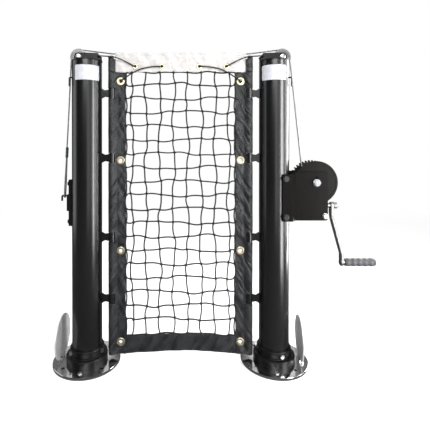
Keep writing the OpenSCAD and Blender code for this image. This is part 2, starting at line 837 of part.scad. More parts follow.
module headband() {
    difference() {
        translate([mid_x - headband_half, 0, 0]) rotate([90, 0, 90])
            linear_extrude(2 * headband_half) {
                translate([0, cable_h]) circle(r = cable_d / 2 + free_gap + 1.2, $fn = 48);
                translate([-tape_t / 2, headband_foot]) square([tape_t, headband_drop]);
            }
        translate([0, 0, cable_h])
            rod_x(mid_x - net_half - post_r, 2 * net_half + 2 * post_r, cable_d + 2 * free_gap);
        headband_grommet_places()
            rod_y(-tape_t, 2 * tape_t, headband_grommet_hole_d + 2 * grommet_barrel + 0.2);
    }
}

module headband_grommet_places() {
    for (x = headband_grommet_offsets, s = [-1, 1])
        translate([mid_x + s * x, 0, headband_eyelet_z]) children();
}

// Height of the bottom band's lower edge at u, which runs from -1 to 1 across the net
function band_foot(u) = tape_foot + band_rise * (1 - u * u);
band_edge = [for (i = [0 : band_steps]) 2 * i / band_steps - 1];

module bottom_band() {
    upright(-tape_t / 2, tape_t) polygon(concat(
        [for (u = band_edge) [mid_x + u * net_half, band_foot(u)]],
        [for (u = band_edge) [mid_x - u * net_half, band_foot(u) + bottom_band_h]]
    ));
}

// Place of the knot in column i and row j; the outermost ones lie on the net's border cords
function knot_x(i) = i == 0 ? net_cord_d / 2 - net_half
    : i == cols + 1 ? net_half - net_cord_d / 2
    : (i - (cols + 1) / 2) * mesh_size;
function knot_z(i, j) = j == 0 ? headband_foot - net_cord_d / 2
    : j == rows + 1 ? band_foot(knot_x(i) / net_half) + bottom_band_h + net_cord_d / 2
    : headband_foot - first_row_drop - (j - 1) * mesh_size;
function inside_net(i, j) = (i > 0 && i <= cols ? 1 : 0) * (j > 0 && j <= rows ? 1 : 0);
function knot(i, j) = [
    mid_x + knot_x(i) + inside_net(i, j) * knot_wander * sin(97 * i + 61 * j),
    knot_z(i, j) + inside_net(i, j) * knot_wander * cos(53 * i + 151 * j)
];

module net_gap(i, j) {
    h = net_cord_d / 2;
    polygon([
        knot(i, j) + [h, -h],
        knot(i + 1, j) + [-h, -h],
        knot(i + 1, j + 1) + [-h, h],
        knot(i, j + 1) + [h, h]
    ]);
}

module net() {
    upright(-net_cord_d / 2, net_cord_d) difference() {
        polygon(concat(
            [for (u = band_edge) [mid_x + u * net_half, band_foot(u) + bottom_band_h]],
            [[mid_x + net_half, headband_foot], [mid_x - net_half, headband_foot]]
        ));
        for (i = [0 : cols], j = [0 : rows]) net_gap(i, j);
    }
}

// ---- cable ----

// Left sheave, right sheave and drum: centres in X and Z
left_sheave_c = [-sheave_offset, sheave_z];
right_sheave_c = [post_spacing + sheave_offset, sheave_z];
drum_c = [post_spacing + drum_offset, drum_z];
lay_r = barrel_d / 2 + cable_d / 2 + 0.8;

// Where the cable leaves a sheave for the headband, as an angle above the horizontal
entry_x = mid_x - headband_half - 8;
entry_run = [entry_x + sheave_offset, cable_h - sheave_z];
top_angle = atan2(entry_run[1], entry_run[0]) + acos(sheave_cable_r / norm(entry_run));

// Where it leaves the left sheave for the hook, and how far it leans outboard
hook_run = [sheave_offset - loop_offset, hook_z - sheave_z];
left_angle = 360 + atan2(hook_run[1], hook_run[0]) - acos(sheave_cable_r / norm(hook_run));
lean = left_angle - 180;
function strand_x(z) = -loop_offset - (z - hook_z) * tan(lean);

// Where it crosses from the right sheave to the drum
drum_run = drum_c - right_sheave_c;
cross_angle = atan(drum_run[0] / -drum_run[1]) - asin((sheave_cable_r + lay_r) / norm(drum_run));

// Half the spacing of the loop's strands: in the ferrule, and round the hook's arm
crimp_y = cable_d / 2 + 0.25;
loop_r = hook_d / 2 + cable_d / 2 + free_gap;
loop_route = concat(
    [for (z = [ferrule_z + 12, ferrule_z + 4, ferrule_z - 6]) [strand_x(z), crimp_y, z]],
    [[strand_x(hook_z + 90), crimp_y + 1.2, hook_z + 90]],
    [[strand_x(hook_z + 55), loop_r - 0.3, hook_z + 55]],
    [[strand_x(hook_z + 30), loop_r, hook_z + 30]],
    [for (a = [0 : 22.5 : 180]) [-loop_offset, loop_r * cos(a), hook_z - loop_r * sin(a)]],
    [[strand_x(hook_z + 30), -loop_r, hook_z + 30]],
    [[strand_x(hook_z + 55), 0.3 - loop_r, hook_z + 55]],
    [[strand_x(hook_z + 90), -crimp_y - 1.2, hook_z + 90]],
    [for (z = [ferrule_z - 6, ferrule_z + 4, ferrule_z + 31]) [strand_x(z), -crimp_y, z]],
    [[strand_x(ferrule_z + 90), -1, ferrule_z + 90]],
    [[strand_x(ferrule_z + 160), 0, ferrule_z + 160]]
);

// The turns on the drum: the first lies behind the middle plane's edge, and each next one in front
first_turn_y = barrel_rear_y - cable_d / 2 - 0.5;
lay_start = 180 + cross_angle;
lay_steps = 24;
lay_count = cable_turns * lay_steps;
lay_route = [
    for (i = [0 : lay_count])
        let (a = lay_start + 360 * i / lay_steps)
        [drum_c[0] + lay_r * cos(a), first_turn_y - turn_pitch * i / lay_steps,
            drum_c[1] + lay_r * sin(a)]
];
lay_end = lay_route[lay_count];
lay_tail = lay_end + cable_d * unit(lay_end - lay_route[lay_count - 1]);

cable_route = concat(
    loop_route,
    arc_points(left_sheave_c, sheave_cable_r, left_angle, top_angle, 6, 0),
    [[entry_x, 0, cable_h - 0.4], [entry_x + 12, 0, cable_h], [mid_x, 0, cable_h]],
    [[post_spacing - entry_x - 12, 0, cable_h], [post_spacing - entry_x, 0, cable_h - 0.4]],
    arc_points(right_sheave_c, sheave_cable_r, 180 - top_angle, cross_angle, 6, 0),
    lay_route,
    [lay_tail]
);

// Least gap between turns, measured between points at least half a turn apart
lay_gap = min([
    for (i = [0 : lay_count], j = [i + lay_steps / 2 : 1 : lay_count])
        norm(lay_route[i] - lay_route[j])
]) - cable_d;
echo(least_gap_between_cable_turns = lay_gap);

module net_cable() {
    tube(cable_route, cable_d, [1, 0, 0]);
}

module cable_ferrule() {
    wall = 1.6;
    bore_w = cable_d + 2 * run_gap;
    translate([strand_x(ferrule_z), 0, ferrule_z]) rotate([0, -lean, 0]) difference() {
        union() {
            ferrule_slice(0, ferrule_l, bore_w + 2 * wall - 0.8);
            for (i = [0 : 2]) ferrule_slice(2 + 12 * i, 7, bore_w + 2 * wall);
        }
        ferrule_slice(-cut, ferrule_l + 2 * cut, bore_w);
    }
}

// A length of the ferrule's oval section
module ferrule_slice(z0, h, w) {
    translate([0, 0, z0]) linear_extrude(h) {
        square([w, 2 * crimp_y], center = true);
        for (s = [-1, 1]) translate([0, s * crimp_y]) circle(d = w, $fn = 32);
    }
}

// ---- cable anchor on the left post ----

module rail_section() {
    for (part = [
        [rail_back, rail_base_t, rail_base_w],
        [rail_back, rail_base_t + rail_neck_t + cut, rail_neck_w],
        [rail_face - rail_head_t, rail_head_t, rail_head_w]
    ])
        translate([-part[0] - part[1], -part[2] / 2]) square([part[1], part[2]]);
}

module rail_bolt_places() {
    for (z = [rail_foot + rail_bolt_inset, rail_foot + rail_l - rail_bolt_inset])
        translate([0, 0, z]) children();
}

module anchor_rail() {
    difference() {
        translate([0, 0, rail_foot]) linear_extrude(rail_l) rail_section();
        rail_bolt_places() rod_x(-post_d, post_d, rail_bolt_d + 2 * snug_gap);
    }
}

module rail_bolt_pair() {
    rail_bolt_places() {
        rod_x(-rail_face - 1, rail_face + 1 - post_r + post_wall + 6, rail_bolt_d);
        translate([-rail_face - head_h(rail_bolt_d), 0, 0]) rotate([0, 90, 0])
            cylinder(h = head_h(rail_bolt_d), r = head_r(rail_bolt_d), $fn = 6);
    }
}

module anchor_carriage() {
    lip_back = rail_back + rail_base_t + free_gap;
    lip_front = rail_face - rail_head_t - free_gap;
    translate([0, 0, carriage_foot]) linear_extrude(carriage_l) difference() {
        translate([-carriage_face, -carriage_w / 2])
            square([carriage_face - lip_back, carriage_w]);
        translate([-rail_face - free_gap, -rail_head_w / 2 - free_gap])
            square([rail_face + free_gap - lip_front, rail_head_w + 2 * free_gap]);
        translate([-carriage_face + 4, -rail_neck_w / 2 - free_gap])
            square([carriage_face, rail_neck_w + 2 * free_gap]);
    }
    translate([0, 0, hook_z]) {
        rod_x(hook_bend_r - hook_tip_offset, hook_tip_offset - hook_bend_r - carriage_face + 1, hook_d);
        translate([hook_bend_r - hook_tip_offset, 0, -hook_bend_r]) rotate([90, 0, 180])
            rotate_extrude(angle = 90, $fn = 48) translate([hook_bend_r, 0]) circle(d = hook_d, $fn = 48);
    }
    translate([-hook_tip_offset, 0, hook_z - hook_tip_l])
        cylinder(h = hook_tip_l - hook_bend_r, d = hook_d, $fn = 48);
}

// ---- winch on the right post ----

module winch_outline() {
    corner_r = 8;
    translate([winch_reach - corner_r, winch_foot + corner_r]) circle(r = corner_r, $fn = 48);
    polygon([
        [ear_start, winch_foot],
        [winch_reach - corner_r, winch_foot],
        [winch_reach - corner_r, winch_foot + corner_r],
        [winch_reach, winch_foot + corner_r],
        [winch_reach, winch_top - 3],
        [winch_reach - 3, winch_top],
        [bend_end - 2, winch_top],
        [bend_end - 6, winch_top - ear_step],
        [ear_start, winch_top - ear_step]
    ]);
}

// Bores that both winch plates share
module winch_bores() {
    for (z = post_bolt_zs) translate([post_bolt_x, 0, z])
        rod_y(-post_d, 2 * post_d, post_bolt_d + 2 * snug_gap);
    translate([tie_x, 0, tie_z]) rod_y(-post_d, 2 * post_d, tie_bolt_d + 2 * snug_gap);
    translate([drum_offset, 0, drum_z]) rod_y(-post_d, 2 * post_d, drum_shaft_d + 2 * snug_gap);
}

module winch_front_plate() {
    lean_in = 1.4;
    at_winch() difference() {
        union() {
            intersection() {
                translate([0, 0, winch_foot - cut]) linear_extrude(winch_top - winch_foot + 2 * cut)
                    polygon([
                        [ear_start, -ear_face_y],
                        [ear_end, -ear_face_y],
                        [bend_end, -front_face_y],
                        [winch_reach, -front_face_y],
                        [winch_reach, -front_face_y - winch_plate_t],
                        [bend_end - lean_in, -front_face_y - winch_plate_t],
                        [ear_end - lean_in, -ear_face_y - winch_plate_t],
                        [ear_start, -ear_face_y - winch_plate_t]
                    ]);
                upright(-post_d, 2 * post_d) winch_outline();
            }
            translate([bend_end, -front_face_y - cut, winch_foot])
                cube([winch_reach - bend_end - 12, lip_w + cut, winch_plate_t]);
        }
        winch_bores();
        translate([drum_offset, 0, drum_z + peep_hole_rise]) rod_y(-post_d, post_d, peep_hole_d);
    }
}

module block_screw_places() {
    for (x = [inner_block_x + block_t / 2, outer_block_x + block_t / 2], s = [-1, 1])
        translate([x, 0, worm_z + s * block_screw_gap / 2 + s * 2]) children();
}

module winch_rear_plate() {
    at_winch() difference() {
        union() {
            upright(ear_face_y, winch_plate_t) winch_outline();
            translate([bend_end, ear_face_y - lip_w, winch_foot])
                cube([winch_reach - bend_end - 12, lip_w + cut, winch_plate_t]);
        }
        winch_bores();
        block_screw_places() rod_y(0, post_d, block_screw_d + 2 * snug_gap);
    }
}

module winch_post_bolts() {
    at_winch() for (z = post_bolt_zs) translate([post_bolt_x, 0, z])
        bolt_y(post_bolt_d, -ear_face_y - winch_plate_t, ear_face_y + winch_plate_t);
}

module winch_tie_bolt() {
    at_winch() translate([tie_x, 0, tie_z])
        bolt_y(tie_bolt_d, -front_face_y - winch_plate_t, ear_face_y + winch_plate_t);
}

module winch_tie_spacer() {
    at_winch() translate([tie_x, 0, tie_z]) difference() {
        rod_y(-front_face_y, front_face_y + ear_face_y, tie_spacer_d);
        rod_y(-post_r - cut, post_d + 2 * cut, tie_bolt_d + 2 * run_gap);
    }
}

module winch_drum() {
    hub_end = wheel_rear_y + 1.5;
    at_winch() translate([drum_offset, 0, drum_z]) difference() {
        union() {
            rod_y(drum_front_y, flange_t, flange_d);
            rod_y(drum_front_y, barrel_rear_y + flange_t / 2 - drum_front_y, barrel_d);
            rod_y(barrel_rear_y, flange_t, flange_d - 19);
            rod_y(drum_front_y, hub_end - drum_front_y, hub_d);
        }
        difference() {
            rod_y(drum_front_y - cut, 1 + cut, flange_d - 14);
            rod_y(drum_front_y - 2 * cut, 3 * cut + 1, 46);
        }
        rod_y(drum_front_y - cut, hub_end - drum_front_y + 2 * cut, drum_shaft_d + 2 * run_gap);
    }
}

// Flank of a wheel tooth: half angle at radius r, along the involute
function involute(a) = tan(a) * 180 / PI - a;
wheel_base_r = wheel_pitch_r * cos(pressure_angle);
function half_angle(r) = wheel_tooth_w / 2 / wheel_pitch_r * 180 / PI + involute(pressure_angle)
    - involute(acos(min(1, wheel_base_r / r)));
flank_radii = [wheel_root_r, wheel_pitch_r - 1, wheel_pitch_r + 1, wheel_tip_r];

// Half a pitch of turn puts a tooth space straight below the shaft, over the worm's crest
function wheel_outline() = [
    for (i = [0 : wheel_teeth - 1], k = [0 : 7])
        let (
            r = flank_radii[k < 4 ? k : 7 - k],
            side = k < 4 ? -1 : 1,
            a = (i + 0.5) * 360 / wheel_teeth + side * half_angle(r)
        )
        [r * cos(a), r * sin(a)]
];

module worm_wheel() {
    at_winch() translate([drum_offset, 0, drum_z]) difference() {
        upright(wheel_front_y, wheel_w) difference() {
            polygon(wheel_outline());
            circle(r = hub_d / 2 + snug_gap, $fn = 64);
            for (a = [0 : 60 : 300]) rotate(a + 30) translate([40, 0]) circle(r = 11, $fn = 48);
        }
        for (y = [wheel_front_y - cut, wheel_rear_y - 1.5]) difference() {
            rod_y(y, 1.5 + cut, 2 * wheel_root_r - 10);
            rod_y(y - cut, 4 * cut + 1, hub_d + 16);
        }
    }
}

module drum_shaft() {
    at_winch() translate([drum_offset, 0, drum_z])
        bolt_y(drum_shaft_d, -front_face_y - winch_plate_t, ear_face_y + winch_plate_t);
}

module drum_spacer() {
    spacer_start = wheel_rear_y + 1.5 + free_gap;
    at_winch() translate([drum_offset, 0, drum_z]) difference() {
        rod_y(spacer_start, ear_face_y - spacer_start, drum_shaft_d + 8);
        rod_y(spacer_start - cut, ear_face_y, drum_shaft_d + 2 * run_gap);
    }
}

// Thread of the worm: a trapezoid carried along a right-hand helix about +X, faded out at its ends
function thread_reach(i, n) = worm_root_r - 0.2
    + (worm_tip_r - worm_root_r + 0.2) * min(1, i / 8, (n - i) / 8);
function thread_half(r) = worm_thread_w / 2 + (worm_pitch_r - r) * tan(pressure_angle);
function thread_station(i, n) =
    let (
        x = thread_start + (thread_end - thread_start) * i / n,
        a = 90 + 360 * (x - drum_offset) / lead,
        tip = thread_reach(i, n),
        foot = worm_root_r - 0.6
    )
    [for (q = [[foot, -1], [foot, 1], [tip, 1], [tip, -1]])
        [x + q[1] * thread_half(q[0]), q[0] * cos(a), q[0] * sin(a)]];

module worm_thread() {
    n = ceil(thread_turns * thread_steps);
    polyhedron(
        points = [for (i = [0 : n]) each thread_station(i, n)],
        faces = sweep_faces(n + 1, 4),
        convexity = 10
    );
}

module worm_shaft() {
    journal_start = inner_block_x - 2;
    core_start = inner_block_x + block_t + free_gap;
    core_end = outer_block_x - free_gap;
    at_winch() translate([0, worm_y, worm_z]) {
        rod_x(core_start, core_end - core_start, 2 * worm_root_r);
        rod_x(journal_start, arm_offset - journal_start, journal_d);
        rod_x(arm_offset - 2, crank_end + crank_washer_t + crank_nut_h + 4 - arm_offset + 2,
            crank_thread_d);
        worm_thread();
    }
}

module block_places() {
    for (x = [inner_block_x, outer_block_x]) translate([x, 0, 0]) children();
}

module bearing_blocks() {
    at_winch() difference() {
        block_places() translate([0, block_front_y, worm_z - block_h / 2])
            cube([block_t, ear_face_y - block_front_y, block_h]);
        translate([0, worm_y, worm_z]) rod_x(0, outer_block_x + block_t + cut, bush_d + 2 * snug_gap);
        block_screw_places() rod_y(worm_y + bush_d / 2, post_d, block_screw_d + 2 * snug_gap);
    }
}

module worm_bushes() {
    at_winch() translate([0, worm_y, worm_z]) block_places() difference() {
        rod_x(0, block_t, bush_d);
        rod_x(-cut, block_t + 2 * cut, journal_d + 2 * run_gap);
    }
}

module block_screws() {
    screw_depth = 6;
    at_winch() block_screw_places() {
        rod_y(ear_face_y - screw_depth, screw_depth + winch_plate_t + 1, block_screw_d);
        translate([0, ear_face_y + winch_plate_t, 0]) rotate([-90, 0, 0])
            cylinder(h = head_h(block_screw_d), r = head_r(block_screw_d), $fn = 6);
    }
}

// ---- crank ----

// Centre line of the crank arm, down from the shaft: [outward step, height]
arm_line = [
    [0, worm_z + arm_w / 2],
    [0, worm_z - 0.19 * crank_throw],
    [arm_step, worm_z - 0.85 * crank_throw],
    [arm_step, grip_z - arm_w / 2]
];

module crank_arm() {
    at_winch() difference() {
        intersection() {
            upright(worm_y - arm_w, 2 * arm_w) polygon(concat(
                [for (p = arm_line) [arm_offset + p[0], p[1]]],
                [for (i = [3 : -1 : 0]) [arm_offset + arm_t + arm_line[i][0], arm_line[i][1]]]
            ));
            translate([arm_offset - cut, worm_y, 0]) rotate([90, 0, 90])
                linear_extrude(arm_step + arm_t + 2 * cut) {
                    translate([0, worm_z]) circle(d = arm_w, $fn = 64);
                    translate([0, grip_z]) circle(d = arm_w, $fn = 64);
                    translate([-arm_w / 2, grip_z]) square([arm_w, crank_throw]);
                }
        }
        translate([0, worm_y, worm_z])
            rod_x(arm_offset - cut, arm_t + 2 * cut, crank_thread_d + 2 * snug_gap);
        translate([0, worm_y, grip_z])
            rod_x(arm_offset, arm_step + 2 * arm_t, spindle_d + 2 * snug_gap);
    }
}

module crank_nut() {
    at_winch() translate([crank_end, worm_y, worm_z]) difference() {
        union() {
            rod_x(0, 2, 26);
            rod_x(2, crank_washer_t - 2, 20);
            translate([crank_washer_t, 0, 0]) rotate([0, 90, 0])
                cylinder(h = crank_nut_h, r = head_r(crank_thread_d), $fn = 6);
        }
        rod_x(-cut, crank_washer_t + crank_nut_h + 2 * cut, crank_thread_d + 2 * snug_gap);
    }
}

// Radius of the grip at u, which runs from 0 to 1 along it
function grip_r(u) = grip_d / 2 - 0.7 + 0.7 * cos(360 * grip_swells * u + 180);

module crank_grip() {
    steps = 6 * grip_swells;
    bore_r = spindle_d / 2 + run_gap;
    at_winch() translate([grip_x, worm_y, grip_z]) rotate([0, 90, 0]) difference() {
        rotate_extrude($fn = 96) polygon(concat(
            [[bore_r, 0], [grip_r(0) - 1.5, 0]],
            [for (i = [0 : steps]) [grip_r(i / steps), 1.5 + (grip_l - 5.5) * i / steps]],
            [[grip_r(1) - 1.2, grip_l - 1.2], [grip_r(1) - 4, grip_l], [bore_r, grip_l]]
        ));
        translate([0, 0, grip_l - grip_recess])
            cylinder(h = grip_recess + cut, d = grip_head_d + 2, $fn = 48);
    }
}

module grip_spindle() {
    arm_face = arm_offset + arm_step;
    head_start = grip_x + grip_l - grip_recess + free_gap;
    at_winch() translate([0, worm_y, grip_z]) {
        rod_x(arm_face - 2, head_start - arm_face + 3, spindle_d);
        rod_x(arm_face + arm_t, grip_x - free_gap - arm_face - arm_t, spindle_d + 8);
        rod_x(head_start, spindle_end - head_start, grip_head_d);
        rod_x(arm_face - 3, 3, spindle_d + 5);
    }
}

// ---- nodes ----

module left_floor_plate() {
    color("silver") floor_plate(left_hinge_turn, 0);
}

module right_floor_plate() {
    color("silver") at_right() floor_plate(right_hinge_turn, right_pattern_turn);
}

module plate_screws() {
    color("gainsboro") {
        screw_pair(0);
        at_right() screw_pair(right_pattern_turn);
    }
}

module left_lid() {
    color("darkgray") lid(left_hinge_turn);
}

module right_lid() {
    color("darkgray") at_right() lid(right_hinge_turn);
}

module lid_pins() {
    color("gainsboro") {
        lid_pin(left_hinge_turn);
        at_right() lid_pin(right_hinge_turn);
    }
}

module left_post() {
    color("#1c1c1e") difference() {
        post_tube();
        rail_bolt_places() rod_x(-post_d, post_d, rail_bolt_d + 2 * snug_gap);
    }
}

module right_post() {
    color("#1c1c1e") difference() {
        at_right() post_tube();
        at_winch() for (z = post_bolt_zs) translate([post_bolt_x, 0, z])
            rod_y(-post_d, 2 * post_d, post_bolt_d + 2 * snug_gap);
    }
}

module left_collar() {
    color("#1c1c1e") collar(left_collar_turn);
}

module right_collar() {
    color("#1c1c1e") at_right() collar(right_collar_turn);
}

module collar_bolts() {
    color("silver") {
        collar_bolt_set(left_collar_turn);
        at_right() collar_bolt_set(right_collar_turn);
    }
}

module left_head_bracket() {
    color("#1c1c1e") head_bracket();
}

module right_head_bracket() {
    color("#1c1c1e") at_right() head_bracket();
}

module left_sheave() {
    color("lightgray") sheave();
}

module right_sheave() {
    color("lightgray") at_right() sheave();
}

module sheave_bolts() {
    color("silver") both_posts() sheave_bolt();
}

module left_rope_hook() {
    color("#1c1c1e") rope_hook();
}

module right_rope_hook() {
    color("#1c1c1e") at_right() rope_hook();
}

module left_lacing_rod() {
    color("#2a2a2c") lacing_rod();
}

module right_lacing_rod() {
    color("#2a2a2c") at_right() lacing_rod();
}

module left_rod_lugs() {
    color("#1c1c1e") rod_lugs();
}

module right_rod_lugs() {
    color("#1c1c1e") at_right() rod_lugs();
}

module left_side_tape() {
    color("#26262a") side_tape();
}

module right_side_tape() {
    color("#26262a") at_right() side_tape();
}

module left_side_grommets() {
    color("goldenrod") side_grommets();
}

module right_side_grommets() {
    color("goldenrod") at_right() side_grommets();
}

module left_bracket_cord() {
    color("#141416") cord(route_between(bracket_cord_ends, bracket_cord_points));
}

module right_bracket_cord() {
    color("#141416") at_right() cord(route_between(bracket_cord_ends, bracket_cord_points));
}

module left_corner_cord() {
    color("#141416") cord(route_between(corner_cord_ends, corner_cord_points));
}

module right_corner_cord() {
    color("#141416") at_right() cord(route_between(corner_cord_ends, corner_cord_points));
}

module headband_grommets() {
    color("goldenrod") headband_grommet_places()
        grommet(headband_grommet_d, headband_grommet_hole_d);
}

left_floor_plate();
right_floor_plate();
plate_screws();
left_lid();
right_lid();
lid_pins();
left_collar();
right_collar();
collar_bolts();
left_post();
right_post();
left_head_bracket();
right_head_bracket();
left_sheave();
right_sheave();
sheave_bolts();
left_rope_hook();
right_rope_hook();
left_lacing_rod();
right_lacing_rod();
left_rod_lugs();
right_rod_lugs();
left_side_tape();
right_side_tape();
left_side_grommets();
right_side_grommets();
left_bracket_cord();
right_bracket_cord();
left_corner_cord();
right_corner_cord();
color("whitesmoke") headband();
headband_grommets();
color("#202022") net();
color("#26262a") bottom_band();
color("silver") net_cable();
color("silver") cable_ferrule();
color("#1c1c1e") anchor_rail();
color("#1c1c1e") rail_bolt_pair();  // rail_bolts
color("#1c1c1e") anchor_carriage();
color("#242426") winch_front_plate();
color("#242426") winch_rear_plate();
color("silver") winch_post_bolts();
color("silver") winch_tie_bolt();
color("silver") winch_tie_spacer();
color("#3a342c") winch_drum();
color("#a07a3c") worm_wheel();
color("silver") drum_shaft();
color("silver") drum_spacer();
color("silver") worm_shaft();
color("#242426") bearing_blocks();
color("goldenrod") worm_bushes();
color("silver") block_screws();
color("silver") crank_arm();
color("silver") crank_nut();
color("#3c3c40") crank_grip();
color("silver") grip_spindle();
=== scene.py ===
"""Dresses a court net on two posts with finishes, cloth, cords and a plain studio."""

from __future__ import annotations

import logging
import math
from dataclasses import dataclass, field
from enum import Enum
from typing import Any, Callable, Sequence

import bmesh
import bpy
import numpy as np
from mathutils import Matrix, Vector

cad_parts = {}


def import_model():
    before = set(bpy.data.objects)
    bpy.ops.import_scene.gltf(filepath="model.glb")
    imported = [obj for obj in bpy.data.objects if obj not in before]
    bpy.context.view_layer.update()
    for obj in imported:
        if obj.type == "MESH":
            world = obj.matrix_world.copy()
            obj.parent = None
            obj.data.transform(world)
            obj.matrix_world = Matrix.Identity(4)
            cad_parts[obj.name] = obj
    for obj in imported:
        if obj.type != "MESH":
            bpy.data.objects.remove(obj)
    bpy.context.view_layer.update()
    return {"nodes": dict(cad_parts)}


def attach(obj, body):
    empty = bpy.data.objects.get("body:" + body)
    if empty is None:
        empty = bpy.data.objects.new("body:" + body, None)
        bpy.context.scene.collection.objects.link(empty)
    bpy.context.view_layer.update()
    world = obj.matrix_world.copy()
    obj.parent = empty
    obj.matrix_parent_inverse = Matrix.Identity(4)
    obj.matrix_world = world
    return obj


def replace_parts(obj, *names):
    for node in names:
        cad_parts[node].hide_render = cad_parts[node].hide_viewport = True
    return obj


LOG = logging.getLogger("court_net")
ROOT = "posts_and_net"
Point = tuple[float, float, float]


# ---------------------------------------------------------------- shader kit


class Sock:
    """A shader value that can be used in arithmetic, which adds Math nodes."""

    def __init__(self, shader: "Shader", link: Any) -> None:
        """Wraps an output socket.

        Args:
            shader: The material being built.
            link: The output socket.
        """
        self.shader = shader
        self.link = link

    def _math(self, operation: str, *values: Any) -> "Sock":
        """Adds one Math node.

        Args:
            operation: The node's operation.
            values: Its inputs in order, sockets or numbers.

        Returns:
            The node's output.
        """
        node = self.shader.node("Math", {"operation": operation})
        for index, value in enumerate(values):
            self.shader.feed(node.inputs[index], value)
        return Sock(self.shader, node.outputs[0])

    def __add__(self, other: Any) -> "Sock":
        """Adds."""
        return self._math("ADD", self, other)

    def __radd__(self, other: Any) -> "Sock":
        """Adds, reflected."""
        return self._math("ADD", other, self)

    def __sub__(self, other: Any) -> "Sock":
        """Subtracts."""
        return self._math("SUBTRACT", self, other)

    def __rsub__(self, other: Any) -> "Sock":
        """Subtracts, reflected."""
        return self._math("SUBTRACT", other, self)

    def __mul__(self, other: Any) -> "Sock":
        """Multiplies."""
        return self._math("MULTIPLY", self, other)

    def __rmul__(self, other: Any) -> "Sock":
        """Multiplies, reflected."""
        return self._math("MULTIPLY", other, self)

    def __truediv__(self, other: Any) -> "Sock":
        """Divides."""
        return self._math("DIVIDE", self, other)

    def wave(self) -> "Sock":
        """Returns the sine."""
        return self._math("SINE", self)

    def size(self) -> "Sock":
        """Returns the absolute value."""
        return self._math("ABSOLUTE", self)

    def fraction(self) -> "Sock":
        """Returns the part after the point."""
        return self._math("FRACT", self)

    def most(self, other: Any) -> "Sock":
        """Returns the larger of two values."""
        return self._math("MAXIMUM", self, other)

    def step(self, low: float, high: float) -> "Sock":
        """Ramps smoothly from 0 to 1.

        Args:
            low: The value that gives 0.
            high: The value that gives 1.

        Returns:
            The ramped value.
        """
        node = self.shader.node("MapRange", {"interpolation_type": "SMOOTHSTEP"}, Value=self,
                                From_Min=low, From_Max=high)
        return Sock(self.shader, node.outputs["Result"])


class Tree:
    """A node tree, with short calls that add and link its nodes."""

    def __init__(self, tree: bpy.types.NodeTree, prefix: str = "") -> None:
        """Wraps a node tree.

        Args:
            tree: The tree.
            prefix: What every node type of it starts with, where that is left out in calls.
        """
        self.tree = tree
        self.prefix = prefix

    def feed(self, socket: Any, value: Any) -> None:
        """Links or sets one input.

        Args:
            socket: The input socket.
            value: A Sock, an output socket, a number or a tuple.
        """
        if isinstance(value, Sock):
            value = value.link
        if isinstance(value, bpy.types.NodeSocket):
            self.tree.links.new(value, socket)
        else:
            socket.default_value = value

    def node(self, kind: str, settings: dict[str, Any] | None = None, **values: Any) -> Any:
        """Adds a node.

        Args:
            kind: The node's type without the tree's prefix.
            settings: Properties that are set first.
            values: Inputs by name, with underscores for spaces.

        Returns:
            The node.
        """
        node = self.tree.nodes.new(self.prefix + kind)
        for name, value in (settings or {}).items():
            setattr(node, name, value)
        for name, value in values.items():
            self.feed(node.inputs[name.replace("_", " ")], value)
        return node

    def mix(self, share: Any, low: Any, high: Any) -> Any:
        """Mixes two surface shaders and returns the shader socket.

        Args:
            share: How much of the second one shows.
            low: The first shader.
            high: The second shader.

        Returns:
            The mixed shader.
        """
        node = self.tree.nodes.new("ShaderNodeMixShader")
        for socket, value in zip(node.inputs, (share, low, high)):
            self.feed(socket, value)
        return node.outputs[0]


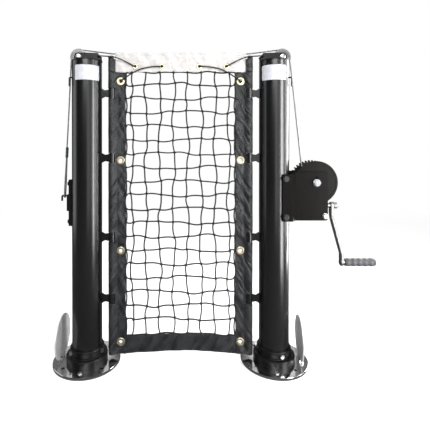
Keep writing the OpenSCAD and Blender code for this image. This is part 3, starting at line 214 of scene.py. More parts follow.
class Shader(Tree):
    """One material's node tree, with short calls for the nodes that finishes use."""

    def __init__(self, name: str) -> None:
        """Makes an empty material.

        Args:
            name: The material's name.
        """
        self.material = bpy.data.materials.new(name)
        self.material.use_nodes = True
        super().__init__(self.material.node_tree, "ShaderNode")
        self.tree.nodes.clear()
        self.out = self.node("OutputMaterial")

    def place(self) -> Any:
        """Returns the object coordinates."""
        return self.node("TexCoord").outputs["Object"]

    def along(self) -> Any:
        """Returns the piece's own UV coordinates."""
        return self.node("TexCoord").outputs["UV"]

    def axes(self, vector: Any) -> tuple[Sock, Sock, Sock]:
        """Splits a vector into its three numbers."""
        outputs = self.node("SeparateXYZ", Vector=vector).outputs
        return Sock(self, outputs[0]), Sock(self, outputs[1]), Sock(self, outputs[2])

    def stretch(self, vector: Any, scale: Point) -> Any:
        """Scales a vector."""
        return self.node("Mapping", Vector=vector, Scale=scale).outputs[0]

    def noise(self, vector: Any, scale: float, detail: float = 2.0, rough: float = 0.5) -> Sock:
        """Adds a noise pattern.

        Args:
            vector: Its coordinates.
            scale: Features to a metre.
            detail: Octaves.
            rough: Strength of the finer octaves.

        Returns:
            The noise, around 0.5.
        """
        node = self.node("TexNoise", Vector=vector, Scale=scale, Detail=detail, Roughness=rough)
        return Sock(self, node.outputs[0])

    def blend(self, share: Any, low: Any, high: Any) -> Any:
        """Mixes two colours and returns the colour socket."""
        node = self.node("Mix", {"data_type": "RGBA"})
        self.feed(node.inputs["Factor"], share)
        self.feed(node.inputs[6], tinted(low))
        self.feed(node.inputs[7], tinted(high))
        return node.outputs[2]

    def bump(self, height: Sock, depth: float, round_off: float = 0.0) -> Any:
        """Turns a height from 0 to 1 into a normal.

        Args:
            height: The height.
            depth: The depth of the relief in metres.
            round_off: The radius of the soft edge that catches the light, or 0 for none.

        Returns:
            The normal socket.
        """
        node = self.node("Bump", Height=height, Strength=1.0, Distance=depth)
        if round_off:
            edge = self.node("Bevel", {"samples": 4}, Radius=round_off)
            self.feed(node.inputs["Normal"], edge.outputs[0])
        return node.outputs[0]

    def surface(self, **values: Any) -> bpy.types.Material:
        """Adds the surface shader.

        Args:
            values: Its inputs by name, with underscores for spaces.

        Returns:
            The finished material.
        """
        shader = self.node("BsdfPrincipled")
        for name, value in values.items():
            self.feed(shader.inputs[name.replace("_", " ")], tinted(value))
        self.tree.links.new(shader.outputs[0], self.out.inputs[0])
        return self.material


def tinted(value: Any) -> Any:
    """Adds alpha to a colour of three numbers, and leaves anything else alone."""
    return (*value, 1.0) if isinstance(value, tuple) and len(value) == 3 else value


# ---------------------------------------------------------------- finishes


@dataclass(frozen=True)
class Finish:
    """A surface finish for one material slot, and a variant of it where a slot has several."""

    slot: str
    variant: str = ""

    def build(self, shader: Shader) -> bpy.types.Material:
        """Builds the finish's nodes. Each kind of finish has its own."""
        raise NotImplementedError

    def material(self) -> bpy.types.Material:
        """Returns the finish's material, made on first use."""
        name = "finish_" + self.slot + self.variant
        return bpy.data.materials.get(name) or self.build(Shader(name))


@dataclass(frozen=True)
class Paint(Finish):
    """Powder coat or paint with a fine orange peel, handling marks and floor dust."""

    color: Point = (0.0026, 0.0026, 0.0032)
    roughness: float = 0.24
    shine: float = 1.0
    peel: float = 900.0
    peel_depth: float = 0.00003
    dust: float = 0.20
    edge: float = 0.0

    def build(self, shader: Shader) -> bpy.types.Material:
        """Builds the paint."""
        place = shader.place()
        _, _, height = shader.axes(place)
        peel = shader.noise(place, self.peel, 1.0)
        marks = shader.noise(shader.stretch(place, (1.0, 1.0, 0.12)), 42.0, 4.0, 0.6).step(0.50, 0.85)
        low = (1 - height.step(0.0, 0.22)) * shader.noise(place, 24.0, 5.0).step(0.35, 0.8) * self.dust
        grime = tuple(c + 0.020 for c in self.color)
        color = shader.blend(low.most(marks * 0.12), self.color, grime)
        rough = self.roughness + marks * 0.04 + low * 0.20
        return shader.surface(
            Base_Color=color, Roughness=rough, Specular_IOR_Level=self.shine,
            Normal=shader.bump(peel, self.peel_depth, self.edge),
        )


@dataclass(frozen=True)
class Metal(Finish):
    """Bare or plated metal with a brushed or spangled grain and soft smudges."""

    color: Point = (0.62, 0.62, 0.63)
    roughness: float = 0.30
    grain: Point = (1.0, 1.0, 1.0)
    grain_scale: float = 500.0
    grain_depth: float = 0.00002
    tarnish: float = 0.25
    metallic: float = 1.0
    edge: float = 0.0006

    def build(self, shader: Shader) -> bpy.types.Material:
        """Builds the metal."""
        place = shader.place()
        grain = shader.noise(shader.stretch(place, self.grain), self.grain_scale, 3.0, 0.6)
        smudge = shader.noise(place, 38.0, 4.0, 0.6).step(0.38, 0.72)
        dark = tuple(c * (1 - self.tarnish) for c in self.color)
        return shader.surface(
            Base_Color=shader.blend(smudge * 0.7 + grain * 0.3, self.color, dark),
            Metallic=self.metallic,
            Roughness=self.roughness + (grain - 0.5) * 0.10 + smudge * 0.08,
            Normal=shader.bump(grain, self.grain_depth, self.edge),
        )


@dataclass(frozen=True)
class Cloth(Finish):
    """Woven cloth or coated tape, with its weave on the piece's own UV in metres."""

    color: Point = (0.0040, 0.0041, 0.0047)
    # worn is the second colour: worn patches and stains, and, where fold is set, painted light along the
    # creases.
    worn: Point = (0.036, 0.037, 0.041)
    roughness: float = 0.40
    sheen: float = 0.05
    thread: float = 0.0011
    depth: float = 0.00022
    stain: float = 0.5
    patch: float = 26.0
    fold: float = 0.0

    def build(self, shader: Shader) -> bpy.types.Material:
        """Builds the cloth."""
        along = shader.along()
        across, length, _ = shader.axes(along)
        turns = math.pi / self.thread
        warp = (across * turns).wave().size()
        weft = (length * turns).wave().size()
        over = ((across * (turns / 2)).wave() * (length * (turns / 2)).wave()).step(-0.25, 0.25)
        weave = warp * over + weft * (1 - over)
        patches = shader.noise(along, self.patch, 5.0, 0.62).step(0.35, 0.75)
        fuzz = shader.noise(along, 1400.0, 2.0)
        share = patches * self.stain + weave * 0.25 + fuzz * 0.15
        relief = (weave * 0.8 + fuzz * 0.2) * self.depth
        if self.fold:
            slanted = shader.node("CombineXYZ", X=across * 34.0 + length * 22.0,
                                  Y=length * 7.0 - across * 5.0)
            crease = shader.noise(slanted.outputs[0], 1.0, 2.5, 0.5).step(0.36, 0.62)
            # Along the creases the colour also moves towards worn: a painted highlight on the dark tape,
            # painted shade on the pale band.
            share = share * 0.6 + crease * 0.4
            relief = relief + crease * self.fold
        return shader.surface(
            Base_Color=shader.blend(share, self.color, self.worn),
            Roughness=self.roughness - weave * 0.10 + patches * 0.08,
            Sheen_Weight=self.sheen, Sheen_Roughness=0.4,
            Normal=shader.bump(relief, 1.0),
        )


@dataclass(frozen=True)
class Braid(Finish):
    """Braided or laid cord, with its strands on the cord's own UV in metres."""

    color: Point = (0.0045, 0.0045, 0.0052)
    worn: Point = (0.018, 0.018, 0.020)
    around: float = 0.014
    pitch: float = 0.006
    roughness: float = 0.6
    depth: float = 0.0004

    def build(self, shader: Shader) -> bpy.types.Material:
        """Builds the cord."""
        along = shader.along()
        across, length, _ = shader.axes(along)
        turn = math.tau / self.around
        climb = math.tau / self.pitch
        left = (across * (turn * 3) + length * climb).wave()
        right = (across * (turn * 3) - length * climb).wave()
        strands = left.most(right).size()
        fuzz = shader.noise(along, 900.0, 3.0)
        return shader.surface(
            Base_Color=shader.blend(strands * 0.5 + fuzz * 0.4, self.color, self.worn),
            Roughness=self.roughness,
            Normal=shader.bump(strands * 0.8 + fuzz * 0.2, self.depth),
        )


@dataclass(frozen=True)
class Plastic(Finish):
    """Moulded grip plastic: fine grain, with paler dimples between its finger swells."""

    color: Point = (0.045, 0.045, 0.050)
    dimple: Point = (0.105, 0.105, 0.112)
    start: float = 0.908
    pitch: float = 0.0207
    axis_z: float = 0.332

    def build(self, shader: Shader) -> bpy.types.Material:
        """Builds the plastic."""
        place = shader.place()
        run, _, height = shader.axes(place)
        cell = ((run - self.start) / self.pitch).fraction() - 0.5
        middle = (height - self.axis_z) / 0.010
        spot = 1 - (cell * cell * 9.0 + middle * middle).step(0.25, 1.0)
        grain = shader.noise(place, 2200.0, 2.0)
        wear = shader.noise(place, 90.0, 4.0).step(0.45, 0.75)
        return shader.surface(
            Base_Color=shader.blend(spot * 0.75 + wear * 0.15, self.color, self.dimple),
            Roughness=0.46 + grain * 0.12 - wear * 0.08,
            Normal=shader.bump(grain, 0.00005),
        )


@dataclass(frozen=True)
class Label(Finish):
    """A blank gloss paper label with faint creases."""

    color: Point = (0.58, 0.59, 0.63)
    worn: Point = (0.47, 0.48, 0.53)

    def build(self, shader: Shader) -> bpy.types.Material:
        """Builds the label."""
        along = shader.along()
        fade = shader.noise(along, 60.0, 4.0)
        return shader.surface(
            Base_Color=shader.blend(fade.step(0.3, 0.8), self.color, self.worn),
            Roughness=0.30 + fade * 0.15, Coat_Weight=0.25,
            Normal=shader.bump(shader.noise(along, 220.0, 3.0), 0.00008),
        )


# ---------------------------------------------------------------- meshes


def fade(t: Any) -> Any:
    """Returns a smooth ramp of t between 0 and 1."""
    t = np.clip(t, 0.0, 1.0)
    return t * t * (3 - 2 * t)


def ripple(a: Any, b: Any, seed: float) -> Any:
    """Returns a soft uneven ripple from -1 to 1 over two coordinates.

    Args:
        a: The first coordinate, in waves.
        b: The second coordinate, in waves.
        seed: Shifts the pattern.

    Returns:
        The ripple, of the coordinates' shape.
    """
    one = np.sin(math.tau * (a + 0.31 * b) + seed)
    two = np.sin(math.tau * (0.57 * a - 0.83 * b) + 2.3 * seed + 1.1)
    three = np.sin(math.tau * (1.71 * a + 0.49 * b) + 0.7 * seed + 2.6)
    four = np.sin(math.tau * (0.23 * a + 1.37 * b) + 1.9 * seed + 0.4)
    return (one + two + 0.6 * three + 0.6 * four) / 3.2


@dataclass
class Shape:
    """Points, faces and face-corner UVs of a mesh in the making."""

    points: list[Point] = field(default_factory=list)
    faces: list[tuple[int, ...]] = field(default_factory=list)
    uvs: list[tuple[float, float]] = field(default_factory=list)

    def face(self, corners: Sequence[int], uvs: Sequence[tuple[float, float]]) -> None:
        """Adds one face.

        Args:
            corners: Its points' numbers.
            uvs: A UV for each corner.
        """
        self.faces.append(tuple(corners))
        self.uvs.extend(uvs)

    def grid(self, rows: np.ndarray, us: Sequence[float], vs: Sequence[float], around: bool,
             skip: Callable[[int, int], bool] | None = None) -> int:
        """Adds a grid of quads.

        Args:
            rows: Points as [v][u][3].
            us: The U of each column, with one more where the grid goes around.
            vs: The V of each row.
            around: True if the last column joins the first.
            skip: Tells which cells are left out, by their u and v.

        Returns:
            The number of the grid's first point.
        """
        base = len(self.points)
        count, width = rows.shape[0], rows.shape[1]
        self.points.extend(tuple(map(float, p)) for p in rows.reshape(-1, 3))
        for v in range(count - 1):
            for u in range(width if around else width - 1):
                if skip and skip(u, v):
                    continue
                n = (u + 1) % width
                a, b = base + v * width, base + (v + 1) * width
                self.face((a + u, a + n, b + n, b + u),
                          ((us[u], vs[v]), (us[u + 1], vs[v]), (us[u + 1], vs[v + 1]), (us[u], vs[v + 1])))
        return base

    def bridge(self, a: int, b: int, lift: int,
               uvs: Sequence[tuple[float, float]] = ((0.0, 0.0),) * 4) -> None:
        """Joins an edge of one layer to the same edge of the next layer.

        Args:
            a: The edge's first point.
            b: The edge's second point.
            lift: What a point's number grows by from layer to layer.
            uvs: A UV for each corner.
        """
        self.face((a, b, b + lift, a + lift), uvs)

    def cap(self, ring: Sequence[int], uv: tuple[float, float]) -> None:
        """Closes a ring of points with a fan round its middle.

        Args:
            ring: The ring's points in order.
            uv: The UV of the cap.
        """
        middle = np.mean([self.points[i] for i in ring], axis=0)
        centre = len(self.points)
        self.points.append(tuple(map(float, middle)))
        for i, a in enumerate(ring):
            b = ring[(i + 1) % len(ring)]
            self.face((a, b, centre), (uv, uv, uv))

    def mesh(self, name: str, smooth: bool = True) -> bpy.types.Mesh:
        """Makes the Blender mesh, with its faces turned outwards.

        Args:
            name: The mesh's name.
            smooth: True for smooth shading.

        Returns:
            The mesh.
        """
        made = bpy.data.meshes.new(name)
        made.from_pydata(self.points, [], self.faces)
        layer = made.uv_layers.new(name="UVMap")
        layer.data.foreach_set("uv", np.array(self.uvs, np.float32).ravel())
        work = bmesh.new()
        work.from_mesh(made)
        bmesh.ops.recalc_face_normals(work, faces=work.faces)
        work.to_mesh(made)
        work.free()
        made.polygons.foreach_set("use_smooth", [smooth] * len(made.polygons))
        return made


def place_piece(name: str, mesh: bpy.types.Mesh, finish: Finish, body: str = ROOT) -> bpy.types.Object:
    """Puts a finished mesh in the scene on its body.

    Args:
        name: The piece's name.
        mesh: Its mesh, in the frame's own metres.
        finish: Its finish.
        body: The body that it rides on.

    Returns:
        The piece.
    """
    mesh.materials.clear()
    mesh.materials.append(finish.material())
    piece = bpy.data.objects.new(name, mesh)
    bpy.context.scene.collection.objects.link(piece)
    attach(piece, body)
    LOG.info("%s: %d faces on %s", name, len(mesh.polygons), body)
    return piece


def frames(route: np.ndarray, seed: Point) -> tuple[np.ndarray, np.ndarray]:
    """Carries two side directions along a route without twist.

    Args:
        route: The route's points.
        seed: A direction that the first one leans to.

    Returns:
        First sides and second sides.
    """
    ahead = np.gradient(route, axis=0)
    ahead /= np.linalg.norm(ahead, axis=1)[:, None]
    side = np.zeros_like(route)
    last = np.array(seed, float)
    for i, t in enumerate(ahead):
        last = last - last.dot(t) * t
        last = last / np.linalg.norm(last)
        side[i] = last
    return side, np.cross(ahead, side)


def lengths(route: np.ndarray) -> np.ndarray:
    """Returns how far along a route each of its points lies."""
    return np.concatenate([[0.0], np.cumsum(np.linalg.norm(np.diff(route, axis=0), axis=1))])


def resample(route: np.ndarray, step: float) -> np.ndarray:
    """Spaces a route's points evenly.

    Args:
        route: The route's points.
        step: The wanted distance between points.

    Returns:
        The new points.
    """
    far = lengths(route)
    marks = np.linspace(0.0, far[-1], max(2, int(round(far[-1] / step)) + 1))
    return np.stack([np.interp(marks, far, route[:, k]) for k in range(3)], axis=1)


def tube(shape: Shape, route: np.ndarray, radius: float, sides: int, seed: Point = (0.0, 0.0, 1.0)) -> None:
    """Adds a round tube with closed ends.

    Args:
        shape: The shape that it joins.
        route: The tube's centre line.
        radius: Its radius.
        sides: Its sides.
        seed: A direction that its first side leans to.
    """
    one, two = frames(route, seed)
    turn = np.linspace(0.0, math.tau, sides, endpoint=False)
    rows = route[:, None] + radius * (np.cos(turn)[None, :, None] * one[:, None]
                                      + np.sin(turn)[None, :, None] * two[:, None])
    far = lengths(route)
    us = [radius * math.tau * i / sides for i in range(sides + 1)]
    base = shape.grid(rows, us, list(far), True)
    last = base + (len(route) - 1) * sides
    shape.cap(list(range(base, base + sides)), (0.0, 0.0))
    shape.cap(list(range(last, last + sides)), (0.0, float(far[-1])))


# ---------------------------------------------------------------- node groups


class Recipe(Tree):
    """A Geometry Nodes tree that is built once and baked into plain meshes."""

    def __init__(self, name: str, inputs: Sequence[tuple[str, str, Any]]) -> None:
        """Starts a tree with a geometry input and named sizes.

        Args:
            name: The tree's name.
            inputs: Each input's name, socket type and default.
        """
        super().__init__(bpy.data.node_groups.new(name, "GeometryNodeTree"))
        face = self.tree.interface
        face.new_socket("Geometry", in_out="INPUT", socket_type="NodeSocketGeometry")
        face.new_socket("Geometry", in_out="OUTPUT", socket_type="NodeSocketGeometry")
        self.keys: dict[str, str] = {}
        for label, kind, value in inputs:
            made = face.new_socket(label, in_out="INPUT", socket_type=kind)
            if value is not None:
                made.default_value = value
            self.keys[label] = made.identifier
        self.source = self.tree.nodes.new("NodeGroupInput")
        self.sink = self.tree.nodes.new("NodeGroupOutput")

    def input(self, label: str) -> Any:
        """Returns one of the tree's inputs as a socket."""
        return self.source.outputs[label]

    def math(self, operation: str, one: Any, two: Any) -> Any:
        """Adds a Math node and returns its output."""
        node = self.node("ShaderNodeMath", {"operation": operation})
        self.feed(node.inputs[0], one)
        self.feed(node.inputs[1], two)
        return node.outputs[0]

    def circle(self, sides: Any, radius: Any) -> Any:
        """Adds a circle and returns its curve."""
        node = self.node("GeometryNodeCurvePrimitiveCircle", Resolution=sides, Radius=radius)
        return node.outputs["Curve"]

    def measured(self, curve: Any, name: str, measure: str) -> Any:
        """Keeps a measure of a curve for use after it is swept.

        Args:
            curve: The curve.
            name: The output that gives the measure.
            measure: Length for metres along the curve, or Factor for its share.

        Returns:
            The node, with the curve as its first output.
        """
        kept = self.node("GeometryNodeCaptureAttribute", Geometry=curve)
        kept.capture_items.new("FLOAT", name)
        self.feed(kept.inputs[name], self.node("GeometryNodeSplineParameter").outputs[measure])
        return kept

    def swept(self, line: Any, profile: Any, ring: Any, radius: Any) -> Any:
        """Sweeps a profile along a line and lays out its UV in metres.

        Args:
            line: The measured line, with its length as far.
            profile: The profile's curve.
            ring: The measured circle that the profile is made of, with its share as turn.
            radius: The circle's radius.

        Returns:
            The swept geometry.
        """
        body = self.node("GeometryNodeCurveToMesh", Curve=line.outputs[0], Profile_Curve=profile,
                         Fill_Caps=True)
        around = self.math("MULTIPLY", ring.outputs["turn"], self.math("MULTIPLY", radius, math.tau))
        both = self.node("ShaderNodeCombineXYZ", X=around, Y=line.outputs["far"])
        stored = self.node("GeometryNodeStoreNamedAttribute", {"data_type": "FLOAT2", "domain": "CORNER"},
                           Geometry=body.outputs[0], Name="UVMap", Value=both.outputs[0])
        return stored.outputs[0]

    def close(self, geometry: Any) -> None:
        """Ends the tree in Realize Instances and Set Material.

        Args:
            geometry: The geometry to give out.
        """
        real = self.node("GeometryNodeRealizeInstances", Geometry=geometry)
        smooth = self.node("GeometryNodeSetShadeSmooth", Geometry=real.outputs[0])
        dressed = self.node("GeometryNodeSetMaterial", Geometry=smooth.outputs[0],
                            Material=self.input("Material"))
        self.tree.links.new(dressed.outputs[0], self.sink.inputs[0])

    def bake(self, name: str, wires: bpy.types.Mesh, finish: Finish, **sizes: Any) -> bpy.types.Mesh:
        """Runs the tree on a wire mesh.

        Args:
            name: The name of the mesh that comes out.
            wires: The lines and points that the tree works on.
            finish: The finish for the Material input.
            sizes: The other inputs by name, with underscores for spaces.

        Returns:
            A plain mesh.
        """
        holder = bpy.data.objects.new(name + "_wires", wires)
        bpy.context.scene.collection.objects.link(holder)
        modifier = holder.modifiers.new("recipe", "NODES")
        modifier.node_group = self.tree
        modifier[self.keys["Material"]] = finish.material()
        for label, value in sizes.items():
            modifier[self.keys[label.replace("_", " ")]] = value
        graph = bpy.context.evaluated_depsgraph_get()
        made = bpy.data.meshes.new_from_object(holder.evaluated_get(graph), depsgraph=graph)
        made.name = name
        holder.modifiers.remove(modifier)
        bpy.data.objects.remove(holder)
        bpy.data.meshes.remove(wires)
        return made


def wire_mesh(name: str, lines: Sequence[np.ndarray], marks: Sequence[np.ndarray] = ()) -> bpy.types.Mesh:
    """Makes a mesh of open lines for a recipe.

    Args:
        name: The mesh's name.
        lines: Points of each line.
        marks: For each line, 1 at the points that carry an instance.

    Returns:
        The wire mesh.
    """
    points: list[Point] = []
    edges: list[tuple[int, int]] = []
    flags: list[float] = []
    for index, line in enumerate(lines):
        base = len(points)
        points.extend(tuple(map(float, p)) for p in line)
        edges.extend((base + i, base + i + 1) for i in range(len(line) - 1))
        flags.extend(map(float, marks[index] if len(marks) else np.zeros(len(line))))
    made = bpy.data.meshes.new(name)
    made.from_pydata(points, edges, [])
    made.attributes.new("mark", "FLOAT", "POINT").data.foreach_set("value", flags)
    return made


def laid_line_recipe() -> Recipe:
    """Builds the recipe for rope and cable: round strands laid round a line.

    Returns:
        The recipe, with inputs Strands, Strand radius, Lay radius, Lay length and Sides.
    """
    r = Recipe("laid_line", (
        ("Material", "NodeSocketMaterial", None), ("Strands", "NodeSocketInt", 6),
        ("Strand radius", "NodeSocketFloat", 0.0008), ("Lay radius", "NodeSocketFloat", 0.0016),
        ("Lay length", "NodeSocketFloat", 0.04), ("Sides", "NodeSocketInt", 8)))
    line = r.node("GeometryNodeMeshToCurve", Mesh=r.input("Geometry"))
    far = r.node("GeometryNodeSplineParameter").outputs["Length"]
    turn = r.math("MULTIPLY", r.math("DIVIDE", far, r.input("Lay length")), math.tau)
    tilted = r.node("GeometryNodeSetCurveTilt", Curve=line.outputs[0], Tilt=turn)
    strand = r.measured(r.circle(r.input("Sides"), r.input("Strand radius")), "turn", "Factor")
    lay = r.circle(r.input("Strands"), r.input("Lay radius"))
    strands = r.node("GeometryNodeInstanceOnPoints", Points=lay, Instance=strand.outputs[0])
    profile = r.node("GeometryNodeRealizeInstances", Geometry=strands.outputs[0])
    laid = r.measured(tilted.outputs[0], "far", "Length")
    r.close(r.swept(laid, profile.outputs[0], strand, r.input("Strand radius")))
    return r


def knotted_recipe() -> Recipe:
    """Builds the recipe for knotted netting: round cords along lines, and a knot at each mark.

    Returns:
        The recipe, with inputs Cord radius, Knot radius and Sides.
    """
    r = Recipe("knotted_net", (
        ("Material", "NodeSocketMaterial", None), ("Cord radius", "NodeSocketFloat", 0.0014),
        ("Knot radius", "NodeSocketFloat", 0.0026), ("Sides", "NodeSocketInt", 6)))
    line = r.node("GeometryNodeMeshToCurve", Mesh=r.input("Geometry"))
    round_cord = r.circle(r.input("Sides"), r.input("Cord radius"))
    ring = r.measured(round_cord, "turn", "Factor")
    straight = r.measured(line.outputs[0], "far", "Length")
    cords = r.swept(straight, ring.outputs[0], ring, r.input("Cord radius"))
    wrap = r.node("GeometryNodeCurveToMesh", Curve=r.circle(10, r.input("Knot radius")),
                  Profile_Curve=round_cord)
    turned = [
        r.node("GeometryNodeTransform", Geometry=wrap.outputs[0], Rotation=angles,
               Translation=shift, Scale=size).outputs[0]
        for angles, shift, size in (
            ((math.radians(68), 0.0, math.radians(38)), (0.0, -0.0004, 0.0), (1.0, 0.75, 0.85)),
            ((math.radians(100), 0.0, math.radians(-52)), (0.0, 0.0004, 0.0), (0.9, 0.8, 1.0)))]
    knot = r.node("GeometryNodeJoinGeometry")
    for part in reversed(turned):
        r.tree.links.new(part, knot.inputs[0])
    mark = r.node("GeometryNodeInputNamedAttribute", {"data_type": "FLOAT"}, Name="mark")
    chosen = r.node("FunctionNodeCompare", {"data_type": "FLOAT", "operation": "GREATER_THAN"})
    r.feed(chosen.inputs[0], mark.outputs["Attribute"])
    chosen.inputs[1].default_value = 0.5
    spots = r.node("GeometryNodeInstanceOnPoints", Points=r.input("Geometry"),
                   Selection=chosen.outputs[0], Instance=knot.outputs[0])
    whole = r.node("GeometryNodeJoinGeometry")
    r.tree.links.new(spots.outputs[0], whole.inputs[0])
    r.tree.links.new(cords, whole.inputs[0])
    r.close(whole.outputs[0])
    return r


def stitch_recipe() -> Recipe:
    """Builds the recipe for sewing: thread stitches spaced along lines.

    Returns:
        The recipe, with inputs Pitch, Stitch length and Thread radius.
    """
    r = Recipe("sewn_line", (
        ("Material", "NodeSocketMaterial", None), ("Pitch", "NodeSocketFloat", 0.005),
        ("Stitch length", "NodeSocketFloat", 0.0038), ("Thread radius", "NodeSocketFloat", 0.0004)))
    line = r.node("GeometryNodeMeshToCurve", Mesh=r.input("Geometry"))
    spaced = r.node("GeometryNodeResampleCurve", {"mode": "LENGTH"}, Curve=line.outputs[0],
                    Length=r.input("Pitch"))
    ball = r.node("GeometryNodeMeshUVSphere", Segments=6, Rings=5, Radius=r.input("Thread radius"))
    long = r.math("DIVIDE", r.math("MULTIPLY", r.input("Stitch length"), 0.5), r.input("Thread radius"))
    size = r.node("ShaderNodeCombineXYZ", X=1.0, Y=1.0, Z=long)
    stitch = r.node("GeometryNodeTransform", Geometry=ball.outputs[0], Scale=size.outputs[0])
    ahead = r.node("GeometryNodeInputTangent")
    turned = r.node("FunctionNodeAlignRotationToVector", {"axis": "Z"}, Vector=ahead.outputs[0])
    spots = r.node("GeometryNodeInstanceOnPoints", Points=spaced.outputs[0],
                   Instance=stitch.outputs[0], Rotation=turned.outputs[0])
    r.close(spots.outputs[0])
    return r


# ---------------------------------------------------------------- the part's own sizes


@dataclass(frozen=True)
class Sizes:
    """Places and sizes of the CAD, in metres, that the soft pieces follow."""

    post_r: float = 0.0508
    span: float = 0.650
    cable_h: float = 1.065
    rod_x: float = 0.086
    flap_x: float = 0.135
    foot: float = 0.021
    band_h: float = 0.060
    band_rise: float = 0.010
    headband_foot: float = 1.001
    headband_x: float = 0.0988
    sleeve_top: float = 1.056
    lug_r: float = 0.011
    lug_h: float = 0.033
    lugs: tuple[float, ...] = (0.208 * 1.034, 0.414 * 1.034, 0.68 * 1.034, 0.8965 * 1.034)
    eyelets: tuple[float, ...] = (0.059 * 1.065, 0.3575 * 1.065, 0.6525 * 1.065, 0.91 * 1.065)
    eyelet_x: float = 0.117
    headband_eyelets: tuple[float, ...] = (0.167, 0.260, 0.390, 0.483)
    headband_eyelet_z: float = 1.021
    mesh: float = 0.048

    @property
    def middle(self) -> float:
        """The middle of the net in X."""
        return self.span / 2

    @property
    def half(self) -> float:
        """Half the net's width."""
        return self.middle - self.flap_x

    def band_foot(self, x: Any) -> Any:
        """Returns the height of the bottom band's lower edge."""
        u = (x - self.middle) / self.half
        return self.foot + self.band_rise * (1 - u * u)


SIZES = Sizes()


class Side(Enum):
    """The two ends of the net, by the sign of the way in towards the net."""

    LEFT = 1
    RIGHT = -1

    @property
    def label(self) -> str:
        """The side's name."""
        return self.name.lower()

    def x(self, inboard: Any) -> Any:
        """Returns the X of a place at a distance inboard of this side's post."""
        return inboard if self is Side.LEFT else SIZES.span - inboard

    def route(self, points: Sequence[Point]) -> np.ndarray:
        """Returns a left-hand route of points on this side."""
        made = np.array(points, float)
        made[:, 0] = self.x(made[:, 0])
        return made


def curve_through(points: np.ndarray, count: int) -> np.ndarray:
    """Draws a smooth curve through points.

    Args:
        points: The points.
        count: Steps between neighbours.

    Returns:
        The curve's points.
    """
    made = []
    last = len(points) - 1
    for i in range(last):
        a, b, c, d = points[max(i - 1, 0)], points[i], points[i + 1], points[min(i + 2, last)]
        for j in range(count):
            s = j / count
            made.append(0.5 * (2 * b + (c - a) * s + (2 * a - 5 * b + 4 * c - d) * s * s
                               + (3 * b - a - 3 * c + d) * s ** 3))
    made.append(points[last])
    return np.array(made)


@dataclass(frozen=True)
class Section:
    """A cloth's cross-section: a line from one free edge round to the other, by its length."""

    line: np.ndarray
    far: np.ndarray

    @staticmethod
    def through(corners: Sequence[tuple[float, float]], soften: float) -> "Section":
        """Draws a section through corners and rounds them.

        Args:
            corners: The corners in order.
            soften: Length over which a corner is rounded.

        Returns:
            The section.
        """
        step = 0.0002
        points = resample(np.array([(a, b, 0.0) for a, b in corners]), step)[:, :2]
        reach = max(1, int(soften / step / 2))
        padded = np.concatenate([2 * points[0] - points[reach:0:-1], points,
                                 2 * points[-1] - points[-2:-reach - 2:-1]])
        total = np.cumsum(np.concatenate([np.zeros((1, 2)), padded]), axis=0)
        window = 2 * reach + 1
        soft = (total[window:] - total[:-window]) / window
        return Section(soft, lengths(soft))

    @property
    def length(self) -> float:
        """The section's whole length."""
        return float(self.far[-1])

    def at(self, s: Any) -> tuple[Any, Any]:
        """Returns the two coordinates at a length along the section."""
        return np.interp(s, self.far, self.line[:, 0]), np.interp(s, self.far, self.line[:, 1])

    def where(self, axis: int, value: float, back: bool) -> float:
        """Finds where a coordinate is reached.

        Args:
            axis: Which coordinate.
            value: The value looked for.
            back: True for the last place, and False for the first.

        Returns:
            The length along the section.
        """
        order = range(len(self.far) - 1, 0, -1) if back else range(1, len(self.far))
        for i in order:
            low, high = sorted((self.line[i - 1, axis], self.line[i, axis]))
            if low <= value <= high:
                return float(self.far[i])
        return 0.0


